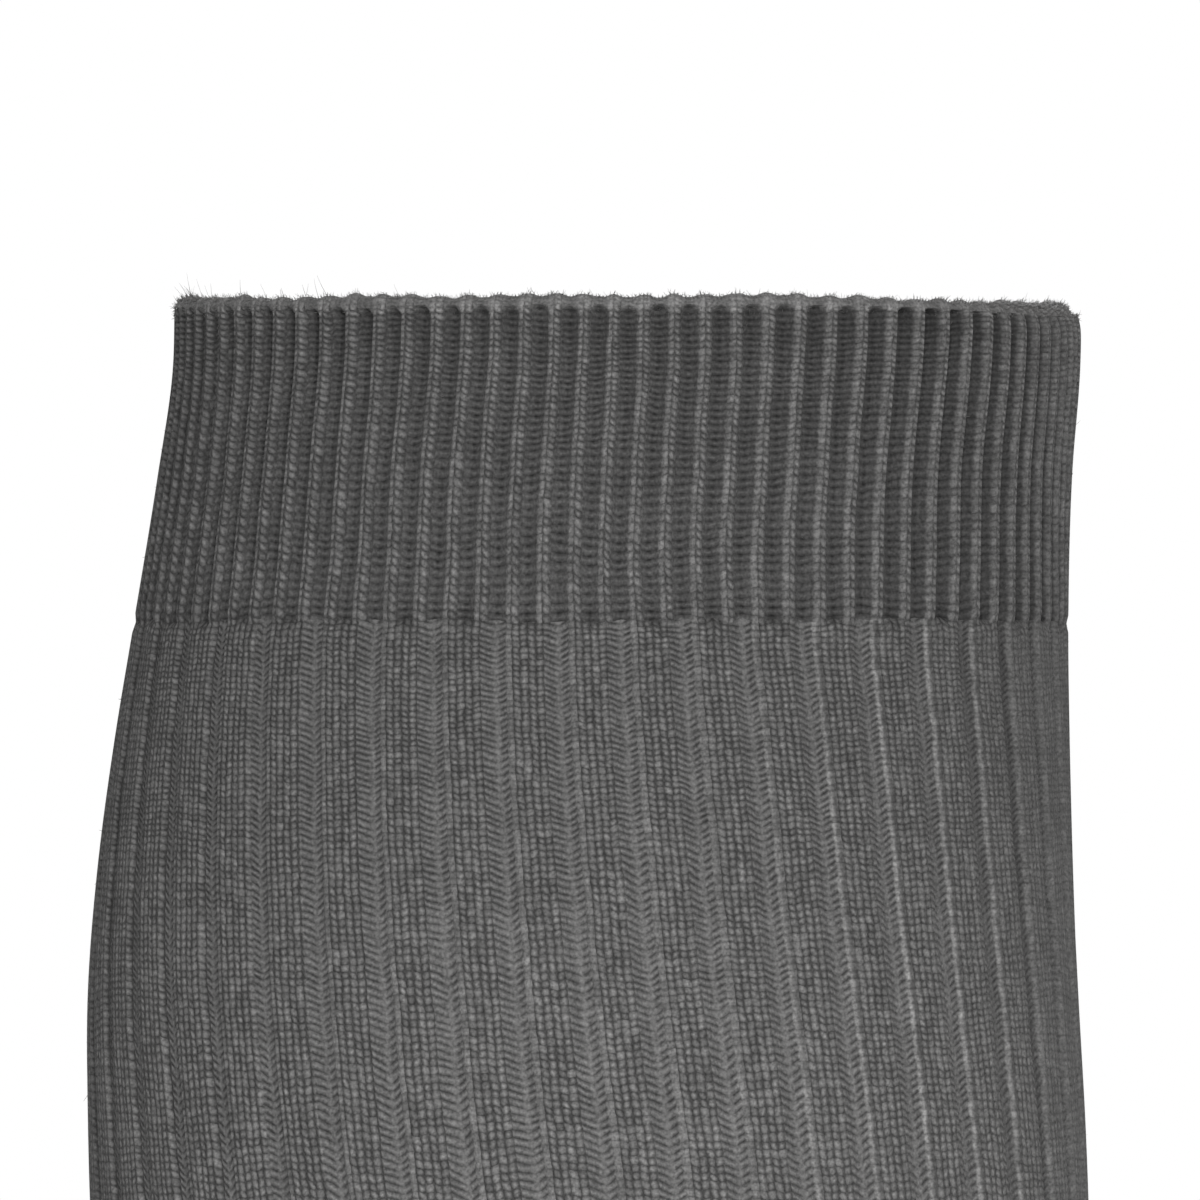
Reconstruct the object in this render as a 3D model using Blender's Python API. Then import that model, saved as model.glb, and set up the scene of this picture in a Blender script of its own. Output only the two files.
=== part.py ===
"""Knee-high sock of ribbed knit, in the hollow form that it has when worn.

The sock has six stretches: a turned welt (cuff) in 1x1 rib, a leg and an ankle in 3x1
rib, a plain heel pocket, a foot whose instep carries the leg's rib on over a plain sole,
and a plain toe pocket. Each is a closed wall of knit with its ribs raised outside and a plain inside.

The frame's origin is the middle of the welt's mouth. +Z is up the leg and +X points
forwards, to the toes. The tables are in millimetres and the meshes in metres.

A ring of the sock runs round the leg from its front line, over its side line, to its back
line and home again. Each table row gives those three lines' places seen from the side,
half of the ring's width, and how square its back half is.
"""

import math
from typing import NamedTuple

import bmesh
import bpy
import numpy as np
from mathutils import Vector

MM = 0.001

# The knit, counted in needles of the machine that makes it.
LEG_REPEATS = 44  # three plain wales and one purl wale each
CUFF_RIBS = 88  # one plain wale and one purl wale each
INSIDE_COLUMNS = 44  # the plain inside's own columns, one to each leg repeat
PURL_HALF = 0.085  # half of a purl channel's floor, as a share of a leg repeat
SHOULDER = 0.17  # where a plain band reaches its full height, as a share of a leg repeat

# Thickness of the wall, in millimetres. Rib heights are counted from a channel's floor.
CUFF_WALL = 2.5
CUFF_RIB = 0.8
LEG_WALL = 1.6
LEG_RIB = 0.55
WALL_SETTLE = 13.0  # depth over which the doubled welt thins to the single leg
POCKET_WALL = 1.8  # heel and toe are knitted with a second yarn
FOLD_DROP = 1.3  # height of the rounded fold at the mouth

FULL_CIRCLE = 1.0
FORWARD, UP = 0, 2  # axes of the frame


class Section(NamedTuple):
    """One ring of the sock, in millimetres and degrees."""

    front_x: float
    front_z: float
    side_x: float
    side_z: float
    back_x: float
    back_z: float
    half_width: float
    square: float = 2.0  # 2 is an ellipse, more is squarer, on the back half
    turn: float = 0.0  # how far the knit is turned round the leg here


class Level(NamedTuple):
    """A level ring of the leg, in millimetres and degrees."""

    z: float
    front: float
    back: float
    half_width: float
    turn: float = 0.0


CUFF_LEVELS = (
    Level(0.0, 51.8, -51.6, 46.8, -16.0),
    Level(-8.0, 51.65, -51.8, 46.8, -16.05),
    Level(-20.0, 50.75, -53.5, 47.2, -15.55),
    Level(-36.7, 50.3, -56.2, 48.2, -13.85),
)

LEG_LEVELS = (
    Level(-37.0, 50.3, -56.25, 48.2, -13.8),
    Level(-50.0, 50.45, -58.4, 49.3, -11.95),
    Level(-65.0, 50.85, -60.4, 50.4, -9.85),
    Level(-80.0, 51.5, -61.55, 51.2, -8.1),
    Level(-95.0, 52.3, -61.5, 51.5, -6.8),
    Level(-112.0, 52.8, -60.8, 51.2, -5.0),
    Level(-130.0, 52.6, -59.3, 49.9, -3.5),
    Level(-150.0, 51.6, -57.0, 47.4, -2.4),
    Level(-172.0, 49.4, -54.2, 43.9, -1.5),
    Level(-195.0, 46.4, -50.9, 40.1, -0.8),
    Level(-218.0, 43.2, -48.3, 36.7, -0.3),
)

# The corner of the heel, low on the ankle's side, where leg, heel and foot meet.
CORNER_X, CORNER_Z = 0.0, -360.0
CORNER_HALF_WIDTH = 33.8

ANKLE_SECTIONS = (
    Section(43.15, -218.3, -2.55, -218.3, -48.25, -218.3, 36.66),
    Section(40.6, -238.0, -2.6, -240.0, -46.8, -239.0, 34.2),
    Section(38.6, -258.0, -3.0, -263.0, -46.0, -260.0, 32.6),
    Section(37.6, -278.0, -3.2, -288.0, -46.0, -281.0, 32.0),
    Section(38.9, -296.0, -3.0, -312.0, -47.0, -302.0, 32.6),
    Section(42.6, -309.0, -2.0, -336.0, -49.5, -322.0, 33.4),
    Section(48.0, -319.5, CORNER_X, CORNER_Z, -53.0, -342.0, CORNER_HALF_WIDTH),
)

FOOT_SECTIONS = (
    Section(48.2, -319.8, CORNER_X + 0.2, CORNER_Z - 0.3, 8.0, -405.0, CORNER_HALF_WIDTH, 3.0),
    Section(57.5, -329.5, 22.0, -371.0, 28.0, -405.0, 35.0, 3.0),
    Section(69.0, -339.5, 45.0, -379.5, 50.0, -405.0, 37.0, 2.9),
    Section(82.0, -350.0, 70.0, -386.0, 73.0, -405.0, 40.2, 2.8),
    Section(98.0, -359.5, 93.0, -390.0, 94.0, -405.0, 43.8, 2.7),
    Section(114.0, -367.5, 113.0, -392.5, 112.0, -405.0, 45.8, 2.6),
    Section(129.0, -373.5, 129.0, -394.0, 128.0, -405.0, 45.6, 2.6),
    Section(142.0, -377.8, 142.0, -395.0, 142.0, -404.9, 43.4, 2.5),
)

TOE_SECTIONS = (
    Section(142.3, -377.9, 142.3, -395.0, 142.3, -404.9, 43.4, 2.5),
    Section(153.0, -381.0, 153.0, -395.4, 153.0, -404.6, 39.8, 2.4),
    Section(163.0, -384.8, 163.0, -395.8, 163.0, -404.0, 34.2, 2.3),
    Section(171.0, -388.6, 171.0, -396.0, 171.0, -403.1, 27.4, 2.2),
    Section(177.5, -392.0, 177.5, -396.3, 177.5, -401.8, 19.4, 2.1),
    Section(181.4, -394.6, 181.4, -396.6, 181.4, -399.6, 10.0, 2.0),
)
TOE_TIP_X, TOE_TIP_Z = 182.9, -396.9


class HeelLine(NamedTuple):
    """Where one half ring of the heel crosses its back line, in millimetres."""

    back_x: float
    back_z: float
    square: float


HEEL_LINES = (
    HeelLine(-53.0, -342.3, 2.0),
    HeelLine(-57.2, -356.0, 2.1),
    HeelLine(-59.8, -370.0, 2.2),
    HeelLine(-59.8, -384.0, 2.35),
    HeelLine(-55.5, -396.0, 2.5),
    HeelLine(-45.5, -403.0, 2.7),
    HeelLine(-30.0, -405.0, 2.85),
    HeelLine(-11.0, -405.0, 3.0),
    HeelLine(7.7, -405.0, 3.0),
)
HEEL_COLUMNS = 22
HEEL_SET_IN = 0.7  # how far the heel's own corner stands back from the other two
HEEL_SET_IN_ANGLE = math.radians(220.0)  # the way it stands back, seen from the side
HEEL_FIRST = 0.2555  # girth share of the heel's first column, just behind its corner

OUTLINE_STEPS = 180  # points on a quarter of a ring, before it is divided evenly


def level_section(level: Level) -> Section:
    """A level ring as a section, its side line halfway between front and back."""
    middle = (level.front + level.back) / 2
    return Section(
        level.front, level.z, middle, level.z, level.back, level.z, level.half_width, 2.0, level.turn
    )


def quarter_points(centre, tip, half_width, square):
    """Points from a ring's side line to its front or back line, even in length.

    Returns OUTLINE_STEPS + 1 points whose y is positive, from the tip to the side.
    """
    angle = np.linspace(0.0, math.pi / 2, 8 * OUTLINE_STEPS + 1)
    along = np.cos(angle) ** (2 / square)
    across = np.sin(angle) ** (2 / square)
    points = np.stack(
        [
            centre[0] + (tip[0] - centre[0]) * along,
            half_width * across,
            centre[1] + (tip[1] - centre[1]) * along,
        ],
        axis=1,
    )
    length = np.concatenate([[0.0], np.cumsum(np.linalg.norm(np.diff(points, axis=0), axis=1))])
    wanted = np.linspace(0.0, length[-1], OUTLINE_STEPS + 1)
    return np.stack([np.interp(wanted, length, points[:, axis]) for axis in range(3)], axis=1)


def ring_points(section, shares):
    """Points of a ring at shares of its girth, counted from the front line over +Y."""
    centre = (section.side_x, section.side_z)
    front = quarter_points(centre, (section.front_x, section.front_z), section.half_width, 2.0)
    back = quarter_points(
        centre, (section.back_x, section.back_z), section.half_width, section.square
    )
    half = np.concatenate([front, back[::-1][1:]])
    other = half[::-1][1:] * np.array([1.0, -1.0, 1.0])
    outline = np.concatenate([half, other])
    spread = np.linspace(0.0, FULL_CIRCLE, len(outline))
    turned = (np.asarray(shares) + section.turn / 360.0) % FULL_CIRCLE
    return np.stack([np.interp(turned, spread, outline[:, axis]) for axis in range(3)], axis=1)


def surface_normals(rows, closed):
    """Outward unit normals of a grid of points whose rows run down the sock."""
    down = np.gradient(rows, axis=0)
    if closed:
        round_ring = np.roll(rows, -1, axis=1) - np.roll(rows, 1, axis=1)
    else:
        round_ring = np.gradient(rows, axis=1)
    normal = np.cross(down, round_ring)
    return normal / np.linalg.norm(normal, axis=2, keepdims=True)


def within_plane(normals, axis):
    """Unit normals turned into the plane of their ring, so that a rim stays flat."""
    flat = normals.copy()
    flat[:, axis] = 0.0
    return flat / np.linalg.norm(flat, axis=1, keepdims=True)


def leg_rib_columns(first, last):
    """Girth shares and heights of the columns of the 3x1 ribs from one repeat to another.

    A height of 1 is a plain band's top and 0 is a purl channel's floor.
    """
    profile = ((-PURL_HALF, 0.0), (PURL_HALF, 0.0), (SHOULDER, 1.0), (1 - SHOULDER, 1.0))
    columns = [
        ((repeat + place) / LEG_REPEATS, height)
        for repeat in range(first, last)
        for place, height in profile
    ]
    shares, heights = np.array(columns).T
    return shares, heights


def cuff_rib_columns():
    """Girth shares and heights of the cuff's 1x1 ribs, a channel and a ridge in turn."""
    count = 2 * CUFF_RIBS
    return np.arange(count) / count, np.arange(count) % 2.0


def wall_mesh(name, outer, inner, closed=True, outer_tip=None, inner_tip=None):
    """The mesh of a closed wall between rows of outer points and rows of inner points.

    The outer rows hold a whole number of points for each inner one. Where closed is
    false the rows end at two side edges, and where tips are given the last rows run in
    to them and the wall has one rim.
    """
    mesh = bmesh.new()
    skin = [[mesh.verts.new(point * MM) for point in row] for row in outer]
    lining = [[mesh.verts.new(point * MM) for point in row] for row in inner]

    def spans(row):
        """Neighbouring index pairs along a row."""
        last = len(row) if closed else len(row) - 1
        return [(j, (j + 1) % len(row)) for j in range(last)]

    def cover(grid, outward):
        """Quads between the rows of a grid."""
        for upper, lower in zip(grid, grid[1:]):
            for j, k in spans(upper):
                corners = [upper[j], lower[j], lower[k], upper[k]]
                mesh.faces.new(corners if outward else corners[::-1])

    def rim(edge, core, upper):
        """The band between an outer row and the inner row beside it."""
        ratio = len(edge) // len(core) if closed else (len(edge) - 1) // (len(core) - 1)
        half = ratio // 2
        for j, k in spans(core):
            for step in range(ratio):
                here = edge[(j * ratio + step) % len(edge)]
                there = edge[(j * ratio + step + 1) % len(edge)]
                foot = core[j] if step < half else core[k]
                corners = [here, there, foot]
                mesh.faces.new(corners if upper else corners[::-1])
            middle = edge[(j * ratio + half) % len(edge)]
            corners = [core[j], middle, core[k]]
            mesh.faces.new(corners if upper else corners[::-1])

    cover(skin, True)
    cover(lining, False)
    rim(skin[0], lining[0], True)
    if outer_tip is None:
        rim(skin[-1], lining[-1], False)
    else:
        for grid, point, outward in ((skin, outer_tip, True), (lining, inner_tip, False)):
            tip = mesh.verts.new(np.asarray(point) * MM)
            for j, k in spans(grid[-1]):
                corners = [grid[-1][j], tip, grid[-1][k]]
                mesh.faces.new(corners if outward else corners[::-1])
    if not closed:
        for column, first_side in ((0, True), (-1, False)):
            for row in range(len(skin) - 1):
                corners = [
                    skin[row][column],
                    lining[row][column],
                    lining[row + 1][column],
                    skin[row + 1][column],
                ]
                mesh.faces.new(corners if first_side else corners[::-1])
    data = bpy.data.meshes.new(name)
    mesh.to_mesh(data)
    mesh.free()
    return data


def knit_material(name, colour, roughness):
    """A plain dyed knit: matt, and never metallic."""
    material = bpy.data.materials.new(name)
    material.use_nodes = True
    shader = material.node_tree.nodes["Principled BSDF"]
    shader.inputs["Base Color"].default_value = (*colour, 1.0)
    shader.inputs["Roughness"].default_value = roughness
    shader.inputs["Metallic"].default_value = 0.0
    material.diffuse_color = (*colour, 1.0)
    return material


def place(name, data, anchor, material, parent, collection):
    """Make a mesh an object that stands at its anchor, with its points kept in place."""
    spot = Vector(anchor) * MM
    for vertex in data.vertices:
        vertex.co -= spot
    data.shade_smooth()
    data.set_sharp_from_angle(angle=math.radians(60.0))
    data.materials.append(material)
    piece = bpy.data.objects.new(name, data)
    piece.location = spot
    piece.parent = parent
    collection.objects.link(piece)
    return piece


def raised(rows, normals, heights, rib):
    """The outer points of a ribbed wall, channels sunk by the rib's height."""
    sunk = (1.0 - np.asarray(heights)) * rib
    return rows - normals * sunk[None, :, None]


def build_cuff():
    """The turned welt: 88 ridges round a doubled wall, with a rounded fold at the mouth."""
    sections = [level_section(level) for level in CUFF_LEVELS]
    shares, heights = cuff_rib_columns()
    rows = np.array([ring_points(section, shares) for section in sections])
    normals = surface_normals(rows, True)
    normals[0] = within_plane(normals[0], UP)
    normals[-1] = within_plane(normals[-1], UP)
    sides = raised(rows, normals, heights, CUFF_RIB)
    top_in = CUFF_WALL * 0.5
    shoulder_in = CUFF_WALL * 0.16
    crown = sides[0] - normals[0] * top_in
    shoulder = sides[0] - normals[0] * shoulder_in
    shoulder[:, 2] -= FOLD_DROP * 0.3
    brim = sides[0].copy()
    brim[:, 2] -= FOLD_DROP
    outer = np.array([crown, shoulder, brim, *sides[1:]])
    inside = np.arange(INSIDE_COLUMNS) / INSIDE_COLUMNS
    core = np.array([ring_points(section, inside) for section in sections])
    core_normals = surface_normals(core, True)
    core_normals[-1] = within_plane(core_normals[-1], UP)
    inner = core - core_normals * CUFF_WALL
    inner[0][:, 2] -= FOLD_DROP
    return wall_mesh("cuff", outer, inner)


def leg_walls(sections):
    """The wall at each ring under the welt, doubled at first and settling to one layer."""
    depth = LEG_LEVELS[0].z - np.array([section.side_z for section in sections])
    settled = np.clip(depth / WALL_SETTLE, 0.0, 1.0)
    return CUFF_WALL + (LEG_WALL - CUFF_WALL) * settled


def ribbed_tube(name, sections, level_rims):
    """A tube of 3x1 rib through its rings, with a flat rim at each level end ring."""
    shares, heights = leg_rib_columns(0, LEG_REPEATS)
    inside = np.arange(INSIDE_COLUMNS) / INSIDE_COLUMNS - PURL_HALF / LEG_REPEATS
    rows = np.array([ring_points(section, shares) for section in sections])
    core = np.array([ring_points(section, inside) for section in sections])
    normals = surface_normals(rows, True)
    core_normals = surface_normals(core, True)
    for rim in level_rims:
        normals[rim] = within_plane(normals[rim], UP)
        core_normals[rim] = within_plane(core_normals[rim], UP)
    outer = raised(rows, normals, heights, LEG_RIB)
    inner = core - core_normals * leg_walls(sections)[:, None, None]
    return wall_mesh(name, outer, inner)


def build_leg():
    """The calf's tube, from the welt to the narrow of the leg."""
    return ribbed_tube("leg", [level_section(level) for level in LEG_LEVELS], (0, -1))


def build_ankle():
    """The ankle's tube, whose rings tip over the instep until they meet heel and foot."""
    return ribbed_tube("ankle", list(ANKLE_SECTIONS), (0,))


def build_foot():
    """The tube of the foot: ribs over the instep, a plain sole, half the needles each."""
    instep = LEG_REPEATS // 4
    shares, heights = leg_rib_columns(-instep, instep)
    sole_count = 4 * (INSIDE_COLUMNS - 2 * instep)
    first = instep / LEG_REPEATS - PURL_HALF / LEG_REPEATS
    sole = first + np.arange(sole_count) * (1 - 2 * instep / LEG_REPEATS) / sole_count
    shares = np.concatenate([shares, sole[::2]])
    heights = np.concatenate([heights, np.ones(sole_count // 2)])
    rows = np.array([ring_points(section, shares) for section in FOOT_SECTIONS])
    normals = surface_normals(rows, True)
    normals[-1] = within_plane(normals[-1], FORWARD)
    outer = raised(rows, normals, heights, LEG_RIB)
    core = rows[:, ::4]
    core_normals = surface_normals(core, True)
    core_normals[-1] = within_plane(core_normals[-1], FORWARD)
    inner = core - core_normals * LEG_WALL
    return wall_mesh("foot", outer, inner)


def build_toe():
    """The toe pocket: a plain cap drawn in to the tip."""
    shares = np.arange(INSIDE_COLUMNS) / INSIDE_COLUMNS
    rows = np.array([ring_points(section, shares) for section in TOE_SECTIONS])
    normals = surface_normals(rows, True)
    normals[0] = within_plane(normals[0], FORWARD)
    inner = rows - normals * POCKET_WALL
    tip = np.array([TOE_TIP_X, 0.0, TOE_TIP_Z])
    inner_tip = tip - np.array([POCKET_WALL, 0.0, 0.0])
    return wall_mesh("toe", rows, inner, True, tip, inner_tip)


def build_heel():
    """The heel pocket: half rings that fan out from the corners, down and under the heel."""
    corner_x = CORNER_X + HEEL_SET_IN * math.cos(HEEL_SET_IN_ANGLE)
    corner_z = CORNER_Z + HEEL_SET_IN * math.sin(HEEL_SET_IN_ANGLE)
    shares = np.linspace(HEEL_FIRST, FULL_CIRCLE - HEEL_FIRST, HEEL_COLUMNS + 1)
    rows = np.array(
        [
            ring_points(
                Section(
                    0.0, 0.0, corner_x, corner_z, line.back_x, line.back_z,
                    CORNER_HALF_WIDTH, line.square,
                ),
                shares,
            )
            for line in HEEL_LINES
        ]
    )
    inner = rows - surface_normals(rows, False) * POCKET_WALL
    return wall_mesh("heel", rows, inner, False)


PIECES = (
    ("cuff", build_cuff, (0.0, 0.0, 0.0), (0.089, 0.088, 0.087), 0.95),
    ("leg", build_leg, (-3.1, 0.0, -37.0), (0.119, 0.118, 0.116), 0.93),
    ("ankle", build_ankle, (-2.5, 0.0, -218.3), (0.119, 0.118, 0.116), 0.93),
    ("heel", build_heel, (-50.0, 0.0, -375.0), (0.112, 0.111, 0.109), 0.94),
    ("foot", build_foot, (70.0, 0.0, -386.0), (0.119, 0.118, 0.116), 0.93),
    ("toe", build_toe, (142.3, 0.0, -395.0), (0.112, 0.111, 0.109), 0.94),
)


def main():
    """Clear the scene and build the sock's stretches, from the mouth to the toe."""
    for old in list(bpy.data.objects):
        bpy.data.objects.remove(old, do_unlink=True)
    collection = bpy.data.collections.new("knee_high_sock")
    bpy.context.scene.collection.children.link(collection)
    mouth = bpy.data.objects.new("mouth", None)
    collection.objects.link(mouth)
    for name, build, anchor, colour, roughness in PIECES:
        material = knit_material(name + "_knit", colour, roughness)
        place(name, build(), anchor, material, mouth, collection)


main()
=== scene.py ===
"""Knee-high sock in ribbed knit, dressed as a soft garment over its frame of solids.

The sock is drawn as it is worn, hollow and upright. One smooth form runs from the fold of
the welt to the heel line, another from the instep to the toes, and a fan of half rings
makes the heel pocket. The knit lies on these forms as it is counted on the machine: every
surface carries its wale and course numbers, so ribs, stitches and seams follow the cloth.

Lengths in the tables are millimetres and the meshes are metres. +Z is up the leg and +X
points to the toes. A ring runs from its front line over +Y to its back line and home.
"""

import logging
import math
from dataclasses import asdict, dataclass, field
from enum import Enum, IntEnum
from typing import NamedTuple, Sequence

import bmesh
import bpy
import numpy as np
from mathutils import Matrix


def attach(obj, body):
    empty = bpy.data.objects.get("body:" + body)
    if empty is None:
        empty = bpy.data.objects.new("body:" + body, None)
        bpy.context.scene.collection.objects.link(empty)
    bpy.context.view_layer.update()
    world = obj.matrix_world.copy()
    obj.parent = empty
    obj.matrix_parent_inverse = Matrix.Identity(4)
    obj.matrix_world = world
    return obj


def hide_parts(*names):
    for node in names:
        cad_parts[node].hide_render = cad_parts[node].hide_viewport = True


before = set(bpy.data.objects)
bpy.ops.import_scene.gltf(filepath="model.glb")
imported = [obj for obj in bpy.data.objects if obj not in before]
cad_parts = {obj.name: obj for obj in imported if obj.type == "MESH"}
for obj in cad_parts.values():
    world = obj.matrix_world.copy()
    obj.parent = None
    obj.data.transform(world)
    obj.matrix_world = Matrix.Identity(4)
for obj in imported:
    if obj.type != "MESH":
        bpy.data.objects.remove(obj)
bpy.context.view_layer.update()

LOG = logging.getLogger("knee_high_sock")

MM = 0.001
BODY = "root"

Socket = bpy.types.NodeSocket
Term = float | bpy.types.NodeSocket  # what a node's input takes, a number or a link

# The knit, as it is counted on the machine.
NEEDLES = 176
RIB_REPEAT = 4  # wales in one repeat of the leg's 3x1 rib
WELT_REPEAT = 2  # wales in one repeat of the welt's 1x1 rib
COLUMNS_PER_WALE = 4

# Half width of a channel's floor and where its shoulders end, in wales from its middle.
WELT_GROOVE = (0.34, 0.70)
LEG_GROOVE = (0.40, 0.86)

# Places down the sock, in millimetres from the mouth along its form.
FOLD_END = 1.3
WELT_END = 36.85
LEG_END = 218.15
RUN_END = 1e9  # past the last ring, for a piece that runs to the end of its form

# Walls of the cloth, in millimetres.
WELT_WALL = 2.5
LEG_WALL = 1.6
POCKET_WALL = 1.8
WALL_SETTLE = 13.0  # depth over which the doubled welt thins to the single leg

# How an edge row is tucked under the cloth beside it, in millimetres.
TUCK_ALONG = 0.7
TUCK_UNDER = 0.42

# The flat layout that the finish is painted on, as shares of its side.
LAYOUT_MARGIN = 0.004
LAYOUT_WIDTH = 0.992
LAYOUT_TOP = 0.995
LAYOUT_HEIGHT = 0.99
INSIDE_HEIGHT = 0.35  # of an outside row's, for a row of the inside

QUARTER_STEPS = 180  # even steps in a quarter of a ring
QUARTER_SAMPLES = 6 * QUARTER_STEPS  # places that the steps are measured between
SHARP_ANGLE = 62.0  # in degrees, from which an edge is drawn sharp
WELD_DISTANCE = 1e-7  # in metres, at which two points are one


class Seed(IntEnum):
    """Seeds of the random draws, one for each thing that varies."""

    SWAY = 5
    UNEVENNESS = 11
    SCALLOPS = 21
    CHANNEL_TOPS = 31
    JOIN = 43
    DRIFT = 61
    FIBRES = 77


class Section(NamedTuple):
    """One ring of the sock, in millimetres, its turn in degrees."""

    front_x: float
    front_z: float
    side_x: float
    side_z: float
    back_x: float
    back_z: float
    half_width: float
    square: float = 2.0
    turn: float = 0.0


class Level(NamedTuple):
    """A level ring of the leg, in millimetres, its turn in degrees."""

    z: float
    front: float
    back: float
    half_width: float
    turn: float = 0.0


LEVELS = (
    Level(0.0, 51.8, -51.6, 46.8, -16.0),
    Level(-8.0, 51.65, -51.8, 46.8, -16.05),
    Level(-20.0, 50.75, -53.5, 47.2, -15.55),
    Level(-37.0, 50.3, -56.25, 48.2, -13.8),
    Level(-50.0, 50.45, -58.4, 49.3, -11.95),
    Level(-65.0, 50.85, -60.4, 50.4, -9.85),
    Level(-80.0, 51.5, -61.55, 51.2, -8.1),
    Level(-95.0, 52.3, -61.5, 51.5, -6.8),
    Level(-112.0, 52.8, -60.8, 51.2, -5.0),
    Level(-130.0, 52.6, -59.3, 49.9, -3.5),
    Level(-150.0, 51.6, -57.0, 47.4, -2.4),
    Level(-172.0, 49.4, -54.2, 43.9, -1.5),
    Level(-195.0, 46.4, -50.9, 40.1, -0.8),
    Level(-218.0, 43.2, -48.3, 36.7, -0.3),
)

SOLE_Z = -405.0
# The corner of the heel, low on the ankle's side, where leg, heel and foot meet.
CORNER_X, CORNER_Z = 0.0, -360.0
CORNER_HALF_WIDTH = 33.8

ANKLE_SECTIONS = (
    Section(40.6, -238.0, -2.6, -240.0, -46.8, -239.0, 34.2),
    Section(38.6, -258.0, -3.0, -263.0, -46.0, -260.0, 32.6),
    Section(37.6, -278.0, -3.2, -288.0, -46.0, -281.0, 32.0),
    Section(38.9, -296.0, -3.0, -312.0, -47.0, -302.0, 32.6),
    Section(42.6, -309.0, -2.0, -336.0, -49.5, -322.0, 33.4),
    Section(48.0, -319.5, CORNER_X, CORNER_Z, -53.0, -342.0, CORNER_HALF_WIDTH),
)

FOOT_SECTIONS = (
    Section(48.0, -319.5, CORNER_X, CORNER_Z, 8.0, -405.0, CORNER_HALF_WIDTH, 3.0),
    Section(57.5, -329.5, 22.0, -371.0, 28.0, -405.0, 35.0, 3.0),
    Section(69.0, -339.5, 45.0, -379.5, 50.0, -405.0, 37.0, 2.9),
    Section(82.0, -350.0, 70.0, -386.0, 73.0, -405.0, 40.2, 2.8),
    Section(98.0, -359.5, 93.0, -390.0, 94.0, -405.0, 43.8, 2.7),
    Section(114.0, -367.5, 113.0, -392.5, 112.0, -405.0, 45.8, 2.6),
    Section(129.0, -373.5, 129.0, -394.0, 128.0, -405.0, 45.6, 2.6),
    Section(142.0, -377.8, 142.0, -395.0, 142.0, -404.9, 43.4, 2.5),
    Section(153.0, -381.0, 153.0, -395.4, 153.0, -404.6, 39.8, 2.4),
    Section(163.0, -384.8, 163.0, -395.8, 163.0, -404.0, 34.2, 2.3),
    Section(171.0, -388.6, 171.0, -396.0, 171.0, -403.1, 27.4, 2.2),
    Section(177.5, -392.0, 177.5, -396.3, 177.5, -401.8, 19.4, 2.1),
    Section(181.4, -394.6, 181.4, -396.6, 181.4, -399.6, 10.0, 2.0),
)
TOE_START = 7  # the ring of FOOT_SECTIONS where the toe pocket begins
TOE_TIP = (182.9, 0.0, -396.9)


class HeelLine(NamedTuple):
    """Where one half ring of the heel crosses its back line, in millimetres."""

    back_x: float
    back_z: float
    square: float


HEEL_LINES = (
    HeelLine(-53.0, -342.0, 2.0),
    HeelLine(-57.2, -356.0, 2.1),
    HeelLine(-59.8, -370.0, 2.2),
    HeelLine(-59.8, -384.0, 2.35),
    HeelLine(-55.5, -396.0, 2.5),
    HeelLine(-45.5, -403.0, 2.7),
    HeelLine(-30.0, -405.0, 2.85),
    HeelLine(-11.0, -405.0, 3.0),
    HeelLine(8.0, -405.0, 3.0),
)


class CourseRun(NamedTuple):
    """Height of one course from here on down the sock, in millimetres."""

    start: float
    pitch: float


COURSE_RUNS = (
    CourseRun(0.0, 0.70),
    CourseRun(7.0, 0.71),
    CourseRun(12.0, 0.75),
    CourseRun(18.0, 0.93),
    CourseRun(30.0, 1.04),
    CourseRun(36.8, 1.02),
    CourseRun(37.0, 0.72),
    CourseRun(52.0, 0.73),
    CourseRun(62.0, 0.78),
    CourseRun(86.0, 0.95),
    CourseRun(420.0, 0.92),
)


class Pull(NamedTuple):
    """How the worn cloth is drawn round the leg at one distance down it.

    waves holds how far the wales are drawn, in wales, by a wave that fits once round the
    ring, by one that fits twice, and so on. Each is still at the front and the back line.
    """

    distance: float
    waves: tuple[float, ...]


PULLS = (
    Pull(0.0, (0.00, -0.60, -0.14, -0.47, -0.30)),
    Pull(10.0, (0.00, -0.46, -0.13, -0.34, -0.26)),
    Pull(20.0, (-0.17, -0.23, -0.17, -0.18, -0.24)),
    Pull(30.0, (-0.03, -0.16, -0.04, -0.25, -0.24)),
    Pull(40.0, (0.14, -0.08, 0.07, 0.00, -0.21)),
    Pull(55.0, (0.09, -0.20, 0.06, -0.07, -0.11)),
    Pull(75.0, (0.05, -0.14, 0.10, -0.05, -0.05)),
    Pull(95.0, (-0.15, -0.08, -0.07, 0.06, -0.06)),
    Pull(125.0, (0.00, 0.00, 0.00, 0.00, 0.00)),
)


class Crease(NamedTuple):
    """A soft trough across the cloth, or a ridge where its depth is negative.

    share and distance give its middle, span its half length as a share of the girth,
    rise how far it climbs down the sock over that share, in millimetres.
    """

    share: float
    distance: float
    span: float
    rise: float
    width: float
    depth: float


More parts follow.
